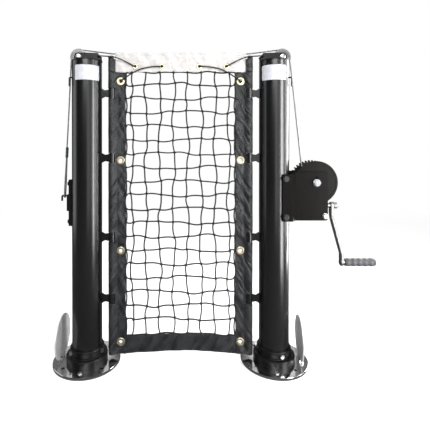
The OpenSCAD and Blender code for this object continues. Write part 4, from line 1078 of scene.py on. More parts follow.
@dataclass
class Fabric:
    """A closed, thin cloth over a grid, with round holes and cut-outs."""

    us: Sequence[float]
    vs: Sequence[float]
    place: Callable[[Any, Any], np.ndarray]
    thickness: float
    holes: Sequence[tuple[float, float, float]] = ()
    skip: Callable[[float, float], bool] | None = None

    def outward(self, u: Any, v: Any) -> np.ndarray:
        """Returns the unit normals at places on the cloth."""
        step = 0.0003
        across = self.place(u + step, v) - self.place(u - step, v)
        along = self.place(u, v + step) - self.place(u, v - step)
        normal = np.cross(across, along)
        return normal / np.maximum(np.linalg.norm(normal, axis=-1), 1e-12)[..., None]

    def face(self, u: Any, v: Any, lift: float) -> np.ndarray:
        """Returns points a little above one face of the cloth.

        Args:
            u: First coordinates.
            v: Second coordinates.
            lift: Height above the face, negative for the other face.

        Returns:
            The points.
        """
        off = math.copysign(self.thickness / 2, lift) + lift
        return self.place(u, v) + off * self.outward(u, v)

    def seam_lift(self, u: float, v: float, back: bool) -> float:
        """Returns the lift that sets a seam just off the outer face of a folded cloth.

        Args:
            u: The place's first coordinate.
            v: The place's second coordinate.
            back: Whether the place is on the back layer.

        Returns:
            The lift, with its sign.
        """
        outer = self.outward(np.array([u]), np.array([v]))[0, 1]
        return math.copysign(SEAM_LIFT, outer if back else -outer)

    def warp(self) -> tuple[np.ndarray, np.ndarray]:
        """Returns the grid with its points moved off the holes."""
        u, v = np.meshgrid(np.array(self.us), np.array(self.vs))
        for hole_u, hole_v, radius in self.holes:
            du, dv = u - hole_u, v - hole_v
            far = np.hypot(du, dv)
            near = (far < radius * 1.75) & (far > 1e-9)
            push = radius + np.maximum(far - radius * 0.35, 0.0) * (0.75 / 1.40)
            scale = np.where(near, push / np.maximum(far, 1e-9), 1.0)
            u = np.where(near, hole_u + du * scale, u)
            v = np.where(near, hole_v + dv * scale, v)
        return u, v

    def kept(self) -> set[tuple[int, int]]:
        """Returns the cells that aren't in a hole or a cut-out."""
        made = set()
        for j in range(len(self.vs) - 1):
            for i in range(len(self.us) - 1):
                u, v = (self.us[i] + self.us[i + 1]) / 2, (self.vs[j] + self.vs[j + 1]) / 2
                inside = any(math.hypot(u - hu, v - hv) < hr * 0.62 for hu, hv, hr in self.holes)
                if not inside and not (self.skip and self.skip(u, v)):
                    made.add((i, j))
        return made

    def add_to(self, shape: Shape) -> None:
        """Adds both faces of the cloth and its edges to a shape."""
        u, v = self.warp()
        normal = self.outward(u, v)
        middle = self.place(u, v)
        layers = []
        for sign in (-1, 1):
            layers.append(len(shape.points))
            points = middle + sign * self.thickness / 2 * normal
            shape.points.extend(tuple(map(float, p)) for p in points.reshape(-1, 3))
        width = len(self.us)
        cells = self.kept()
        edges = (((0, -1), (0, 0), (1, 0)), ((1, 0), (1, 0), (1, 1)),
                 ((0, 1), (1, 1), (0, 1)), ((-1, 0), (0, 1), (0, 0)))
        for i, j in sorted(cells):
            ring = [(i, j), (i + 1, j), (i + 1, j + 1), (i, j + 1)]
            for base, order in ((layers[0], ring), (layers[1], ring[::-1])):
                shape.face([base + b * width + a for a, b in order],
                           [(float(u[b, a]), float(v[b, a])) for a, b in order])
            for (di, dj), (ai, aj), (bi, bj) in edges:
                if (i + di, j + dj) in cells:
                    continue
                a, b = (j + aj) * width + i + ai, (j + bj) * width + i + bi
                one = (float(u[j + aj, i + ai]), float(v[j + aj, i + ai]))
                two = (float(u[j + bj, i + bi]), float(v[j + bj, i + bi]))
                shape.face((layers[0] + b, layers[0] + a, layers[1] + a, layers[1] + b),
                           (two, one, (one[0] + self.thickness, one[1]), (two[0] + self.thickness, two[1])))


def spread(start: float, end: float, step: float, extras: Sequence[tuple[float, float]] = ()) -> list[float]:
    """Spaces numbers evenly, and more finely round some places.

    Args:
        start: The first number.
        end: The last number.
        step: The usual spacing.
        extras: Places and radii within which the spacing is a quarter of that.

    Returns:
        The numbers in order.
    """
    made = list(np.linspace(start, end, max(2, int(round((end - start) / step)) + 1)))
    for place, radius in extras:
        low, high = max(start, place - radius), min(end, place + radius)
        made = [m for m in made if m < low - step * 0.3 or m > high + step * 0.3 or m in (start, end)]
        made += list(np.linspace(low, high, 13))
    return sorted(set(round(float(m), 6) for m in made))


# ---------------------------------------------------------------- the net's cloth

SEAM_LIFT = 0.0001
SEAM_STEP = 0.004
SEAM_PLACE = 0.3


@dataclass(frozen=True)
class Sewing:
    """A thread and the size of its stitches."""

    thread: Finish
    pitch: float
    stitch: float
    radius: float

    def sew(self, recipe: Recipe, name: str, wires: str, lines: Sequence[np.ndarray]) -> bpy.types.Object:
        """Sews along lines.

        Args:
            recipe: The recipe of the stitches.
            name: The new piece's name.
            wires: The name of the mesh that holds the lines.
            lines: The lines.

        Returns:
            The piece.
        """
        mesh = recipe.bake(name, wire_mesh(wires, lines), self.thread, Pitch=self.pitch,
                           Stitch_length=self.stitch, Thread_radius=self.radius)
        return place_piece(name, mesh, self.thread)


def tape_edge(side: Side, z: Any) -> Any:
    """Returns how far a side tape's inner edge wanders at a height."""
    return 0.0013 * ripple(z * 8.0, z * 0.0, 1.4 * side.value) - 0.0006


@dataclass
class SideTape:
    """The tape at one end of the net: it is wrapped round the lacing rod and sewn to itself."""

    side: Side
    finish: Finish
    thread: Finish
    thickness: float = 0.0017
    wrap_r: float = 0.0113
    seam: float = 0.0165
    pinch: float = 0.002
    lug_gap: float = 0.0008

    def section(self) -> Section:
        """Returns the wrapped section, as X inboard of the post and Y, from the front edge."""
        half = self.thickness / 2 + 0.0001
        turn = math.acos(self.wrap_r / (self.seam + self.pinch))
        loop = [(SIZES.rod_x + self.wrap_r * math.cos(a), -self.wrap_r * math.sin(a))
                for a in np.linspace(turn, math.tau - turn, 40)]
        front = [(SIZES.flap_x, -half), (SIZES.rod_x + self.seam + self.pinch, -half)]
        back = [(x, -y) for x, y in front[::-1]]
        return Section.through(front + loop + back, 0.004)

    def wobble(self, x: Any, z: Any) -> Any:
        """Returns the cloth's swell out of its plane, which dies out at the sleeve and eyelets."""
        depth = fade((x - SIZES.rod_x - 0.016) / 0.014)
        soft = ripple(z * 7.5, x * 16.0, 0.6 + self.side.value)
        slant = ripple(z * 13.0 + x * 24.0, z * 3.0 - x * 6.0, 1.7 + self.side.value)
        fine = ripple(z * 30.0 + x * 34.0, x * 26.0, 2.2 - self.side.value)
        calm = 1.0
        for height in SIZES.eyelets:
            far = np.hypot(x - SIZES.eyelet_x, z - height)
            calm = calm * (0.08 + 0.92 * fade((far - 0.012) / 0.020))
        return depth * calm * (0.0026 * soft + 0.0034 * slant + 0.0011 * fine)

    def fabric(self, section: Section) -> Fabric:
        """Returns the wrapped cloth up to the headband."""
        holes = []
        marks = []
        for back in (False, True):
            s = section.where(0, SIZES.eyelet_x, back)
            marks += [(s, 0.0125), (section.where(0, SIZES.rod_x + SIZES.lug_r + 0.0004, back), 0.0008)]
            holes += [(s, z, 0.0081) for z in SIZES.eyelets]

        def place(s: Any, z: Any) -> np.ndarray:
            """Gives the points of the cloth."""
            x, y = section.at(s)
            on_rod = 1 - fade((x - SIZES.rod_x - 0.010) / 0.008)
            turn = np.arctan2(y, x - SIZES.rod_x)
            crease = 0.0005 * on_rod * ripple(z * 12.0, turn / 2.1, self.side.value + 0.3)
            shift = fade((x - SIZES.eyelet_x - 0.008) / (SIZES.flap_x - SIZES.eyelet_x - 0.008))
            out = x + crease * np.cos(turn) + shift * tape_edge(self.side, z)
            lift = y + crease * np.sin(turn) + self.wobble(x, z)
            return np.stack(np.broadcast_arrays(self.side.x(out), lift, z), axis=-1)

        def notch(s: float, z: float) -> bool:
            """Tells whether a lug takes the place of the sleeve."""
            x, _ = section.at(s)
            near = any(abs(z - lug) < SIZES.lug_h / 2 + self.lug_gap for lug in SIZES.lugs)
            return bool(near and x < SIZES.rod_x + SIZES.lug_r + 0.0004)

        rows = spread(SIZES.foot, SIZES.headband_foot - 0.0006, 0.0068,
                      [(z, 0.0125) for z in SIZES.eyelets]
                      + [(z + end * (SIZES.lug_h / 2 + self.lug_gap), 0.002)
                         for z in SIZES.lugs for end in (-1, 1)])
        return Fabric(spread(0.0, section.length, 0.0030, marks), rows, place, self.thickness, holes, notch)

    def collar(self, shape: Shape) -> None:
        """Adds the sleeve's last length, beside the headband."""
        ring = 30
        turn = np.linspace(0.0, math.tau, ring + 1)[:-1]
        foot = SIZES.headband_foot + 0.0002
        heights = [float(z) for z in np.linspace(foot, SIZES.sleeve_top, 14)]
        layers = []
        us = [self.wrap_r * math.tau * i / ring for i in range(ring + 1)]
        outward = -self.side.value * np.cos(turn)
        cut = 1 + (outward * 0.0060 - 0.0045) / (SIZES.sleeve_top - foot)
        for inset in (self.thickness / 2, -self.thickness / 2):
            radii = [self.wrap_r + inset + 0.0004 * ripple(z * 22.0, turn / 2.1, self.side.value + 0.9)
                     for z in heights]
            rows = np.array([[(self.side.x(SIZES.rod_x) + r * math.cos(a), r * math.sin(a),
                               foot + (z - foot) * share)
                              for a, r, share in zip(turn, row, cut)] for z, row in zip(heights, radii)])
            layers.append(shape.grid(rows, us, heights, True))
        for i in range(ring):
            n = (i + 1) % ring
            for level in (0, (len(heights) - 1) * ring):
                shape.bridge(layers[0] + level + i, layers[0] + level + n, layers[1] - layers[0],
                             ((us[i], 0.0), (us[i + 1], 0.0), (us[i + 1], self.thickness),
                              (us[i], self.thickness)))

    def build(self, recipe: Recipe) -> None:
        """Builds the tape, sews it, and hides the CAD tape that it stands in for."""
        section = self.section()
        fabric = self.fabric(section)
        shape = Shape()
        fabric.add_to(shape)
        self.collar(shape)
        name = f"{self.side.label}_tape_cloth"
        cloth = place_piece(name, shape.mesh(name), self.finish)
        heights = np.arange(SIZES.foot + SEAM_STEP, SIZES.headband_foot - SEAM_STEP, SEAM_STEP)
        lines = []
        for inset in (self.seam + 0.0008, self.seam + 0.0034, SIZES.flap_x - SIZES.rod_x - 0.0045):
            for back in (False, True):
                s = section.where(0, SIZES.rod_x + inset, back)
                lines.append(fabric.face(np.full(heights.shape, s), heights, fabric.seam_lift(s, 0.5, back)))
        name = f"{self.side.label}_tape_stitches"
        sewing = Sewing(self.thread, 0.0052, 0.0040, 0.00042).sew(recipe, name, name + "_lines", lines)
        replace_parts(cloth, f"{self.side.label}_side_tape")


@dataclass
class Headband:
    """The white band that is folded over the net cable and sewn along its edges."""

    finish: Finish
    thread: Finish
    thickness: float = 0.0014
    wrap_r: float = 0.0036
    pinch: float = 0.0085

    def section(self) -> Section:
        """Returns the folded section, as Y and Z, from the front's lower edge."""
        half = self.thickness / 2 + 0.0003
        top = SIZES.cable_h
        turn = math.acos(self.wrap_r / self.pinch)
        loop = [(-self.wrap_r * math.sin(a), top - self.wrap_r * math.cos(a))
                for a in np.linspace(turn, math.tau - turn, 30)]
        front = [(-half, SIZES.headband_foot), (-half, top - self.pinch)]
        back = [(-y, z) for y, z in front[::-1]]
        return Section.through(front + loop + back, 0.0016)

    def wobble(self, x: Any, z: Any) -> Any:
        """Returns the band's swell out of its plane, calm at the eyelets and at the cable."""
        hang = fade((SIZES.cable_h - 0.006 - z) / 0.03)
        soft = ripple(x * 6.0, z * 8.0, 1.3)
        fine = ripple(x * 31.0, z * 22.0, 0.4)
        calm = 1.0
        for place in SIZES.headband_eyelets:
            far = np.hypot(x - place, z - SIZES.headband_eyelet_z)
            calm = calm * (0.08 + 0.92 * fade((far - 0.009) / 0.018))
        return hang * calm * (0.0024 * soft + 0.0006 * fine)

    def build(self, recipe: Recipe) -> None:
        """Builds the band, sews it, and hides the CAD band that it stands in for."""
        section = self.section()
        start, end = SIZES.headband_x, SIZES.span - SIZES.headband_x
        levels = [section.where(1, SIZES.headband_eyelet_z, back) for back in (False, True)]

        def place(x: Any, s: Any) -> np.ndarray:
            """Gives the points of the cloth."""
            y, z = section.at(s)
            low = 1 - fade((z - SIZES.headband_foot) / 0.02)
            drop = 0.0011 * low * (ripple(x * 9.0, x * 0.0, 0.9) + 0.3)
            pucker = 0.00016 * fade((z - SIZES.cable_h + 0.008) / 0.006) * ripple(x * 30.0, s * 30.0, 0.7)
            lift = y + np.sign(y) * pucker + self.wobble(x, z)
            return np.stack(np.broadcast_arrays(x, lift, z + drop + pucker), axis=-1)

        fabric = Fabric(
            spread(start, end, 0.0045, [(x, 0.0100) for x in SIZES.headband_eyelets]),
            spread(0.0, section.length, 0.0020, [(s, 0.0100) for s in levels]), place, self.thickness,
            [(x, s, 0.0066) for x in SIZES.headband_eyelets for s in levels])
        shape = Shape()
        fabric.add_to(shape)
        cloth = place_piece("headband_cloth", shape.mesh("headband_cloth"), self.finish)
        along = np.arange(start + SEAM_STEP, end - 0.003, SEAM_STEP)
        lines = []
        for back in (False, True):
            for height in (SIZES.cable_h - 0.0105, SIZES.headband_foot + 0.0050):
                s = section.where(1, height, back)
                lift = fabric.seam_lift(SEAM_PLACE, s, back)
                lines.append(fabric.face(along, np.full(along.shape, s), lift))
            low = section.where(1, SIZES.headband_foot + 0.006, back)
            high = section.where(1, SIZES.cable_h - 0.011, back)
            reach = np.arange(min(low, high), max(low, high), SEAM_STEP)
            for x in (start + 0.004, end - 0.004):
                lines.append(fabric.face(np.full(reach.shape, x), reach, lift))
        sewing = Sewing(self.thread, 0.0046, 0.0036, 0.00036).sew(recipe, "headband_stitches",
                                                                  "headband_lines", lines)
        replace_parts(cloth, "headband")


@dataclass
class BottomBand:
    """The black band that is folded round the foot of the net."""

    finish: Finish
    thread: Finish
    thickness: float = 0.0016

    def wobble(self, x: Any, z: Any) -> Any:
        """Returns the band's swell out of its plane, which is calm at its ends."""
        ends = fade((SIZES.half - np.abs(x - SIZES.middle)) / 0.03)
        return ends * (0.0028 * ripple(x * 5.5, z * 6.0, 2.4) + 0.0008 * ripple(x * 24.0, z * 30.0, 0.2))

    def build(self, recipe: Recipe) -> None:
        """Builds the band, sews it, and hides the CAD band that it stands in for."""
        start, end = SIZES.flap_x + 0.0004, SIZES.span - SIZES.flap_x - 0.0004
        half = self.thickness / 2 + 0.0003
        section = Section.through([(-half, SIZES.band_h), (-half, 0.001), (0.0, 0.0), (half, 0.001),
                                   (half, SIZES.band_h)], 0.0016)

        def place(x: Any, s: Any) -> np.ndarray:
            """Gives the points of the cloth."""
            y, z = section.at(s)
            hem = 0.0008 * (1 - z / SIZES.band_h) * ripple(x * 12.0, x * 0.0, 0.5)
            lift = y + self.wobble(x, z)
            height = SIZES.band_foot(x) + z + hem
            shift = (1 - fade((x - start) / 0.03)) * tape_edge(Side.LEFT, height)
            shift = shift - (1 - fade((end - x) / 0.03)) * tape_edge(Side.RIGHT, height)
            return np.stack(np.broadcast_arrays(x + shift, lift, height), axis=-1)

        fabric = Fabric(spread(start, end, 0.005), spread(0.0, section.length, 0.0035), place,
                        self.thickness)
        shape = Shape()
        fabric.add_to(shape)
        cloth = place_piece("bottom_band_cloth", shape.mesh("bottom_band_cloth"), self.finish)
        along = np.arange(start + SEAM_STEP, end - 0.003, SEAM_STEP)
        lines = []
        for back in (False, True):
            for height in (0.0050, SIZES.band_h - 0.0045, SIZES.band_h - 0.0075):
                s = section.where(1, height, back)
                lines.append(fabric.face(along, np.full(along.shape, s),
                                         fabric.seam_lift(SEAM_PLACE, s, back)))
        sewing = Sewing(self.thread, 0.0052, 0.0040, 0.0004).sew(recipe, "bottom_band_stitches",
                                                                 "bottom_lines", lines)
        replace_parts(cloth, "bottom_band")


# ---------------------------------------------------------------- net and lines


@dataclass
class KnottedNet:
    """The knotted mesh between the bands, with a border cord on all four sides."""

    finish: Finish
    columns: int = 8
    rows: int = 18
    wander: float = 0.0056
    steps: int = 6
    first_row: float = 0.043
    border: float = 0.0012

    def level(self, j: int) -> float:
        """Returns the height of a row of knots."""
        return SIZES.headband_foot - self.first_row - (j - 1) * SIZES.mesh

    def knot(self, i: int, j: int) -> Point:
        """Returns the place of a knot, where the first and last rows and columns are the border."""
        s = SIZES
        if i in (0, self.columns + 1):
            side = Side.RIGHT if i else Side.LEFT
            x = side.x(s.flap_x + self.border + tape_edge(side, self.level(j)))
        else:
            x = s.middle + (i - (self.columns + 1) / 2) * s.mesh
        if j == 0:
            z = s.headband_foot - 0.0008
        elif j == self.rows + 1:
            z = s.band_foot(x) + s.band_h + self.border
        else:
            z = self.level(j)
        if 0 < i <= self.columns and 0 < j <= self.rows:
            x += self.wander * math.sin(math.radians(97 * i + 61 * j))
            z += self.wander * math.cos(math.radians(53 * i + 151 * j))
            return (x, 0.0022 * math.sin(1.7 * i + 2.9 * j) + 0.0012 * math.cos(2.3 * i - 1.3 * j), z)
        return (x, 0.0, z)

    def bar(self, a: Point, b: Point, seed: float) -> np.ndarray:
        """Returns a slightly slack length of cord between two knots."""
        t = np.linspace(0.0, 1.0, self.steps + 1)[:, None]
        line = np.array(a) * (1 - t) + np.array(b) * t
        slack = np.sin(math.pi * t[:, 0])
        line[:, 0] += slack * 0.0034 * math.sin(seed * 2.1)
        line[:, 1] += slack * 0.0010 * math.sin(seed * 3.7 + 1.0)
        line[:, 2] += slack * 0.0032 * math.cos(seed * 1.3)
        return line

    def line(self, knots: Sequence[Point], seed: float) -> tuple[np.ndarray, np.ndarray]:
        """Joins knots by slack bars, and marks the knots between the first and the last."""
        parts = [self.bar(a, b, seed + 1.9 * n)[:-1] for n, (a, b) in enumerate(zip(knots, knots[1:]))]
        points = np.concatenate(parts + [np.array([knots[-1]])])
        marks = np.zeros(len(points))
        marks[self.steps:-1:self.steps] = 1.0
        return points, marks

    def build(self, recipe: Recipe) -> None:
        """Builds the net from its recipe."""
        lines, marks = [], []
        for j in range(1, self.rows + 1):
            points, flags = self.line([self.knot(i, j) for i in range(self.columns + 2)], 1.0 + j)
            lines.append(points)
            marks.append(flags)
        for i in range(1, self.columns + 1):
            points, flags = self.line([self.knot(i, j) for j in range(self.rows + 2)], 40.0 + i)
            lines.append(points)
            marks.append(flags * 0.0)
        corners = (0, 0), (self.columns + 1, 0), (self.columns + 1, self.rows + 1), (0, self.rows + 1)
        for side in range(4):
            (i0, j0), (i1, j1) = corners[side], corners[(side + 1) % 4]
            count = max(abs(i1 - i0), abs(j1 - j0))
            knots = [self.knot(i0 + (i1 - i0) * n // count, j0 + (j1 - j0) * n // count)
                     for n in range(count + 1)]
            points, flags = self.line(knots, 90.0 + side)
            lines.append(points)
            marks.append(flags)
        mesh = recipe.bake("net_mesh", wire_mesh("net_lines", lines, marks), self.finish,
                           Cord_radius=0.00255, Knot_radius=0.0036, Sides=6)
        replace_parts(place_piece("net_mesh", mesh, self.finish), "net")


@dataclass
class NetCable:
    """The steel cable: from the hook's loop, over both sheaves, and round the drum."""

    finish: Finish
    radius: float = 0.0025
    sheave_r: float = 0.027
    sheave_z: float = 1.052
    sheave_out: float = 0.027
    loop_out: float = 0.077
    hook_z: float = 0.572
    hook_r: float = 0.00325
    ferrule_z: float = 0.705
    drum: tuple[float, float] = (0.786, 0.620)
    lay_r: float = 0.0341
    turns: int = 4
    pitch: float = 0.0055
    first_y: float = -0.0004

    def arc(self, centre: tuple[float, float], radius: float, start: float, end: float,
            steps: int) -> list[Point]:
        """Returns points of an arc in the middle plane, with its angles in degrees."""
        angles = np.radians(np.linspace(start, end, steps + 1))
        return [(centre[0] + radius * math.cos(a), 0.0, centre[1] + radius * math.sin(a)) for a in angles]

    def route(self) -> np.ndarray:
        """Returns the cable's whole centre line."""
        s = SIZES
        entry_x = s.headband_x - 0.008
        run = (entry_x + self.sheave_out, s.cable_h - self.sheave_z)
        top = math.degrees(math.atan2(run[1], run[0]) + math.acos(self.sheave_r / math.hypot(*run)))
        hook = (self.sheave_out - self.loop_out, self.hook_z - self.sheave_z)
        left = 360 + math.degrees(math.atan2(hook[1], hook[0]) - math.acos(self.sheave_r / math.hypot(*hook)))
        lean = math.radians(left - 180)

        def strand(z: float) -> float:
            """Returns the X of the hanging cable at a height."""
            return -self.loop_out - (z - self.hook_z) * math.tan(lean)

        crimp = self.radius + 0.00025
        loop = self.hook_r + self.radius + 0.0003
        h, f = self.hook_z, self.ferrule_z
        legs = [(h + 0.090, crimp + 0.0012), (h + 0.055, loop - 0.0003), (h + 0.030, loop)]
        points: list[Point] = [(strand(z), crimp, z) for z in (f + 0.012, f + 0.004, f - 0.006)]
        points += [(strand(z), y, z) for z, y in legs]
        points += [(-self.loop_out, loop * math.cos(a), h - loop * math.sin(a))
                   for a in np.radians(np.linspace(0, 180, 9))]
        points += [(strand(z), -y, z) for z, y in reversed(legs)]
        points += [(strand(z), -crimp, z) for z in (f - 0.006, f + 0.004, f + 0.031)]
        points += [(strand(f + rise), y, f + rise)
                   for rise, y in ((0.090, -0.001), (0.160, 0.0), (0.250, 0.0))]
        points += self.arc((-self.sheave_out, self.sheave_z), self.sheave_r, left, top, 14)
        points += [(entry_x, 0.0, s.cable_h - 0.0004), (entry_x + 0.012, 0.0, s.cable_h),
                   (s.middle, 0.0, s.cable_h), (s.span - entry_x - 0.012, 0.0, s.cable_h),
                   (s.span - entry_x, 0.0, s.cable_h - 0.0004)]
        sheave = (s.span + self.sheave_out, self.sheave_z)
        down = (self.drum[0] - sheave[0], self.drum[1] - sheave[1])
        cross = math.degrees(math.atan(down[0] / -down[1])
                             - math.asin((self.sheave_r + self.lay_r) / math.hypot(*down)))
        points += self.arc(sheave, self.sheave_r, 180 - top, cross, 14)
        for i in range(self.turns * 36 + 1):
            a = math.radians(180 + cross + 10 * i)
            points.append((self.drum[0] + self.lay_r * math.cos(a), self.first_y - self.pitch * i / 36,
                           self.drum[1] + self.lay_r * math.sin(a)))
        return np.array(points)

    def build(self, recipe: Recipe) -> None:
        """Builds the cable from its recipe."""
        route = resample(self.route(), 0.0045)
        mesh = recipe.bake("cable_strands", wire_mesh("cable_line", [route]), self.finish, Strands=6,
                           Strand_radius=0.00088, Lay_radius=0.00160, Lay_length=0.034, Sides=7)
        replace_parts(place_piece("cable_strands", mesh, self.finish), "net_cable")


@dataclass
class LacingCord:
    """A short braided cord between two holes, with a stopper knot behind each."""

    name: str
    side: Side
    node: str
    route: tuple[Point, ...]
    finish: Finish
    radius: float = 0.0022
    knot_r: float = 0.0019
    knot_lobe: float = 1.55
    knot_depth: float = 1.05

    def knot(self, centre: np.ndarray, seed: float) -> np.ndarray:
        """Returns the turns of an overhand knot round a centre."""
        t = np.linspace(0.0, math.tau, 46)
        x = self.knot_r * (np.sin(t) + self.knot_lobe * np.sin(2 * t))
        z = self.knot_r * (np.cos(t) - self.knot_lobe * np.cos(2 * t))
        y = -self.knot_r * self.knot_depth * np.sin(3 * t)
        c, s = math.cos(seed), math.sin(seed)
        return centre + np.stack([x, y, z], axis=1) @ np.array([[c, 0, s], [0, 1, 0], [-s, 0, c]])

    def build(self) -> None:
        """Builds the cord and its knots."""
        shape = Shape()
        line = curve_through(self.side.route(self.route), 6)
        tube(shape, resample(line, 0.0022), self.radius, 12)
        for seed, end in ((0.4, line[0]), (1.7, line[-1])):
            loop = self.knot(end, seed)
            tube(shape, loop, self.radius, 10, (0.2, 1.0, 0.1))
            tail = np.array([end, end + (0.0015, 0.0042, -0.002), end + (0.0035, 0.0050, -0.0075),
                             end + (0.0042, 0.0046, -0.0145)])
            tube(shape, curve_through(tail, 4), self.radius * 0.9, 9)
        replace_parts(place_piece(self.name, shape.mesh(self.name), self.finish), self.node)


@dataclass
class PostLabel:
    """A blank label wrapped round the front of a post, just under its top."""

    side: Side
    finish: Finish
    low: float = 0.966
    high: float = 1.017
    half_turn: float = 51.0
    facing: float = 15.5
    gap: float = 0.00018
    thickness: float = 0.00014

    def build(self) -> None:
        """Builds the label with rounded corners."""
        columns, rows = 33, 11
        shape = Shape()
        radius = SIZES.post_r + self.gap
        outer, inner = [], []
        us = [float(u) for u in np.linspace(-1, 1, columns)]
        for v in np.linspace(-1, 1, rows):
            ring, back = [], []
            for u in us:
                corner = max(0.0, abs(v) - 0.82) / 0.18
                squeeze = 1 - 0.045 * corner ** 2
                a = math.radians(-90 + self.side.value * self.facing + u * squeeze * self.half_turn)
                z = (self.low + self.high) / 2 + v * (self.high - self.low) / 2
                for target, r in ((ring, radius), (back, radius - self.thickness)):
                    target.append((self.side.x(0.0) + r * math.cos(a), r * math.sin(a), z))
            outer.append(ring)
            inner.append(back)
        vs = [float(v) * (self.high - self.low) / 2 for v in np.linspace(-1, 1, rows)]
        arcs = [u * radius * math.radians(self.half_turn) for u in us]
        first = shape.grid(np.array(outer), arcs, vs, False)
        lift = shape.grid(np.array(inner), arcs, vs, False) - first
        for i in range(columns - 1):
            for level in (0, (rows - 1) * columns):
                shape.bridge(first + level + i, first + level + i + 1, lift)
        for j in range(rows - 1):
            for edge in (0, columns - 1):
                a = first + j * columns + edge
                shape.bridge(a, a + columns, lift)
        name = f"{self.side.label}_post_label"
        place_piece(name, shape.mesh(name), self.finish)


@dataclass
class SheaveBolts:
    """The two bolts that the sheaves turn on: a hexagon head, a washer, a shank and a nut."""

    finish: Finish
    out: float = 0.027
    height: float = 1.052
    cheek_y: float = 0.0120
    shank_r: float = 0.0050
    washer_r: float = 0.0098
    washer_t: float = 0.0016
    across: float = 0.0079
    head_h: float = 0.0062

    def turned(self, shape: Shape, x: float, profile: Sequence[tuple[float, float, float]]) -> None:
        """Adds a closed turned form on the bolt's axis.

        Args:
            shape: The shape that it joins.
            x: The X of the axis.
            profile: Rows of Y, radius, and how far the row is a hexagon from 0 to 1.
        """
        sides = 48
        turn = np.linspace(0.0, math.tau, sides, endpoint=False)
        corner = 1 / np.cos((turn % (math.pi / 3)) - math.pi / 6)
        rows = np.array([[(x + radius * (1 + (c - 1) * hexagon) * math.cos(a), y,
                           self.height + radius * (1 + (c - 1) * hexagon) * math.sin(a))
                          for a, c in zip(turn, corner)] for y, radius, hexagon in profile])
        us = [self.washer_r * math.tau * i / sides for i in range(sides + 1)]
        base = shape.grid(rows, us, [row[0] for row in profile], True)
        last = base + (len(profile) - 1) * sides
        shape.cap(list(range(base, base + sides)), (0.0, 0.0))
        shape.cap(list(range(last, last + sides)), (0.0, 0.0))

    def nut(self, y: float, away: float) -> list[tuple[float, float, float]]:
        """Returns the profile of a washer with a hexagon on it.

        Args:
            y: The face that the washer lies on.
            away: The way out, as a sign of Y.

        Returns:
            The profile's rows.
        """
        top = y + away * self.washer_t
        end = top + away * self.head_h
        return [(y, self.washer_r, 0.0), (top - away * 0.0003, self.washer_r, 0.0),
                (top, self.washer_r - 0.0004, 0.0), (top, self.across, 1.0),
                (end - away * 0.0012, self.across, 1.0), (end - away * 0.0003, self.across, 0.12),
                (end, self.across * 0.90, 0.0), (end + away * 0.0004, self.across * 0.45, 0.0)]

    def build(self) -> None:
        """Builds both bolts."""
        shape = Shape()
        for side in Side:
            x = side.x(-self.out)
            self.turned(shape, x, self.nut(-self.cheek_y, -1.0))
            self.turned(shape, x, self.nut(self.cheek_y, 1.0))
            self.turned(shape, x, [(-self.cheek_y, self.shank_r, 0.0), (self.cheek_y, self.shank_r, 0.0)])
            end = self.cheek_y + self.washer_t + self.head_h
            self.turned(shape, x, [(end - 0.001, self.shank_r, 0.0), (end + 0.0022, self.shank_r, 0.0),
                                   (end + 0.0028, self.shank_r - 0.0006, 0.0)])
        mesh = shape.mesh("sheave_bolt_pair", False)
        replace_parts(place_piece("sheave_bolt_pair", mesh, self.finish), "sheave_bolts")


# ---------------------------------------------------------------- finishes of the whole object

PAINT_BLACK = Paint("black_powder")
COLLAR_BLACK = Paint("black_powder", "_collar", roughness=0.36, shine=0.35, edge=0.0016)
WINCH_BLACK = Paint("winch_black", color=(0.0042, 0.0032, 0.0030), roughness=0.36, shine=0.13, peel=700.0,
                    edge=0.0012)
DRUM_BROWN = Paint("drum_brown", color=(0.0045, 0.0045, 0.0030), roughness=0.34, shine=0.16, dust=0.1,
                   edge=0.0008)
CHROME = Metal("chrome_plate", color=(0.80, 0.80, 0.79), roughness=0.13, grain_scale=60.0, tarnish=0.35,
               grain_depth=0.00004, edge=0.0)
LID_STEEL = Metal("brushed_lid", color=(0.74, 0.74, 0.74), roughness=0.44, metallic=0.45,
                  grain=(1.0, 0.06, 1.0), grain_scale=900.0, grain_depth=0.00003, tarnish=0.3)
ZINC = Metal("zinc_steel", color=(0.66, 0.66, 0.67), roughness=0.27, grain_scale=420.0, tarnish=0.40)
# A darker copy of the zinc: painted shade that keeps the sheaves, pins, ferrule, crank nut and spindle from
# washing out under the lamps.
ZINC_PAINTED_SHADE = Metal("zinc_steel", "_dim", color=(0.27, 0.27, 0.28), roughness=0.30, grain_scale=420.0,
                 tarnish=0.35)
# A much darker copy of the zinc: painted shade that keeps the winch's post bolts nearly black.
ZINC_PAINTED_DEEP_SHADE = Metal("zinc_steel", "_dull", color=(0.11, 0.11, 0.11), roughness=0.38, tarnish=0.4)
CRANK_ZINC = Metal("crank_zinc", color=(0.34, 0.34, 0.33), roughness=0.38, grain=(1.0, 1.0, 0.25),
                   grain_scale=350.0, tarnish=0.22)
BLACK_BOLT = Metal("black_bolt", color=(0.050, 0.050, 0.052), roughness=0.32, grain_scale=600.0, tarnish=0.4)
WORM_STEEL = Metal("worm_steel", color=(0.42, 0.42, 0.43), roughness=0.28, grain=(0.2, 1.0, 1.0), tarnish=0.3)
GEAR_IRON = Metal("gear_iron", color=(0.050, 0.049, 0.047), roughness=0.40, tarnish=0.35)
BUSH_BRONZE = Metal("bush_bronze", color=(0.50, 0.34, 0.18), roughness=0.38, tarnish=0.3)
BRASS = Metal("brass_grommet", color=(0.88, 0.79, 0.56), roughness=0.40, grain_scale=300.0, tarnish=0.22)
CABLE_STEEL = Metal("steel_cable", color=(0.40, 0.40, 0.40), roughness=0.42, grain_scale=1200.0, tarnish=0.3,
                    edge=0.0)
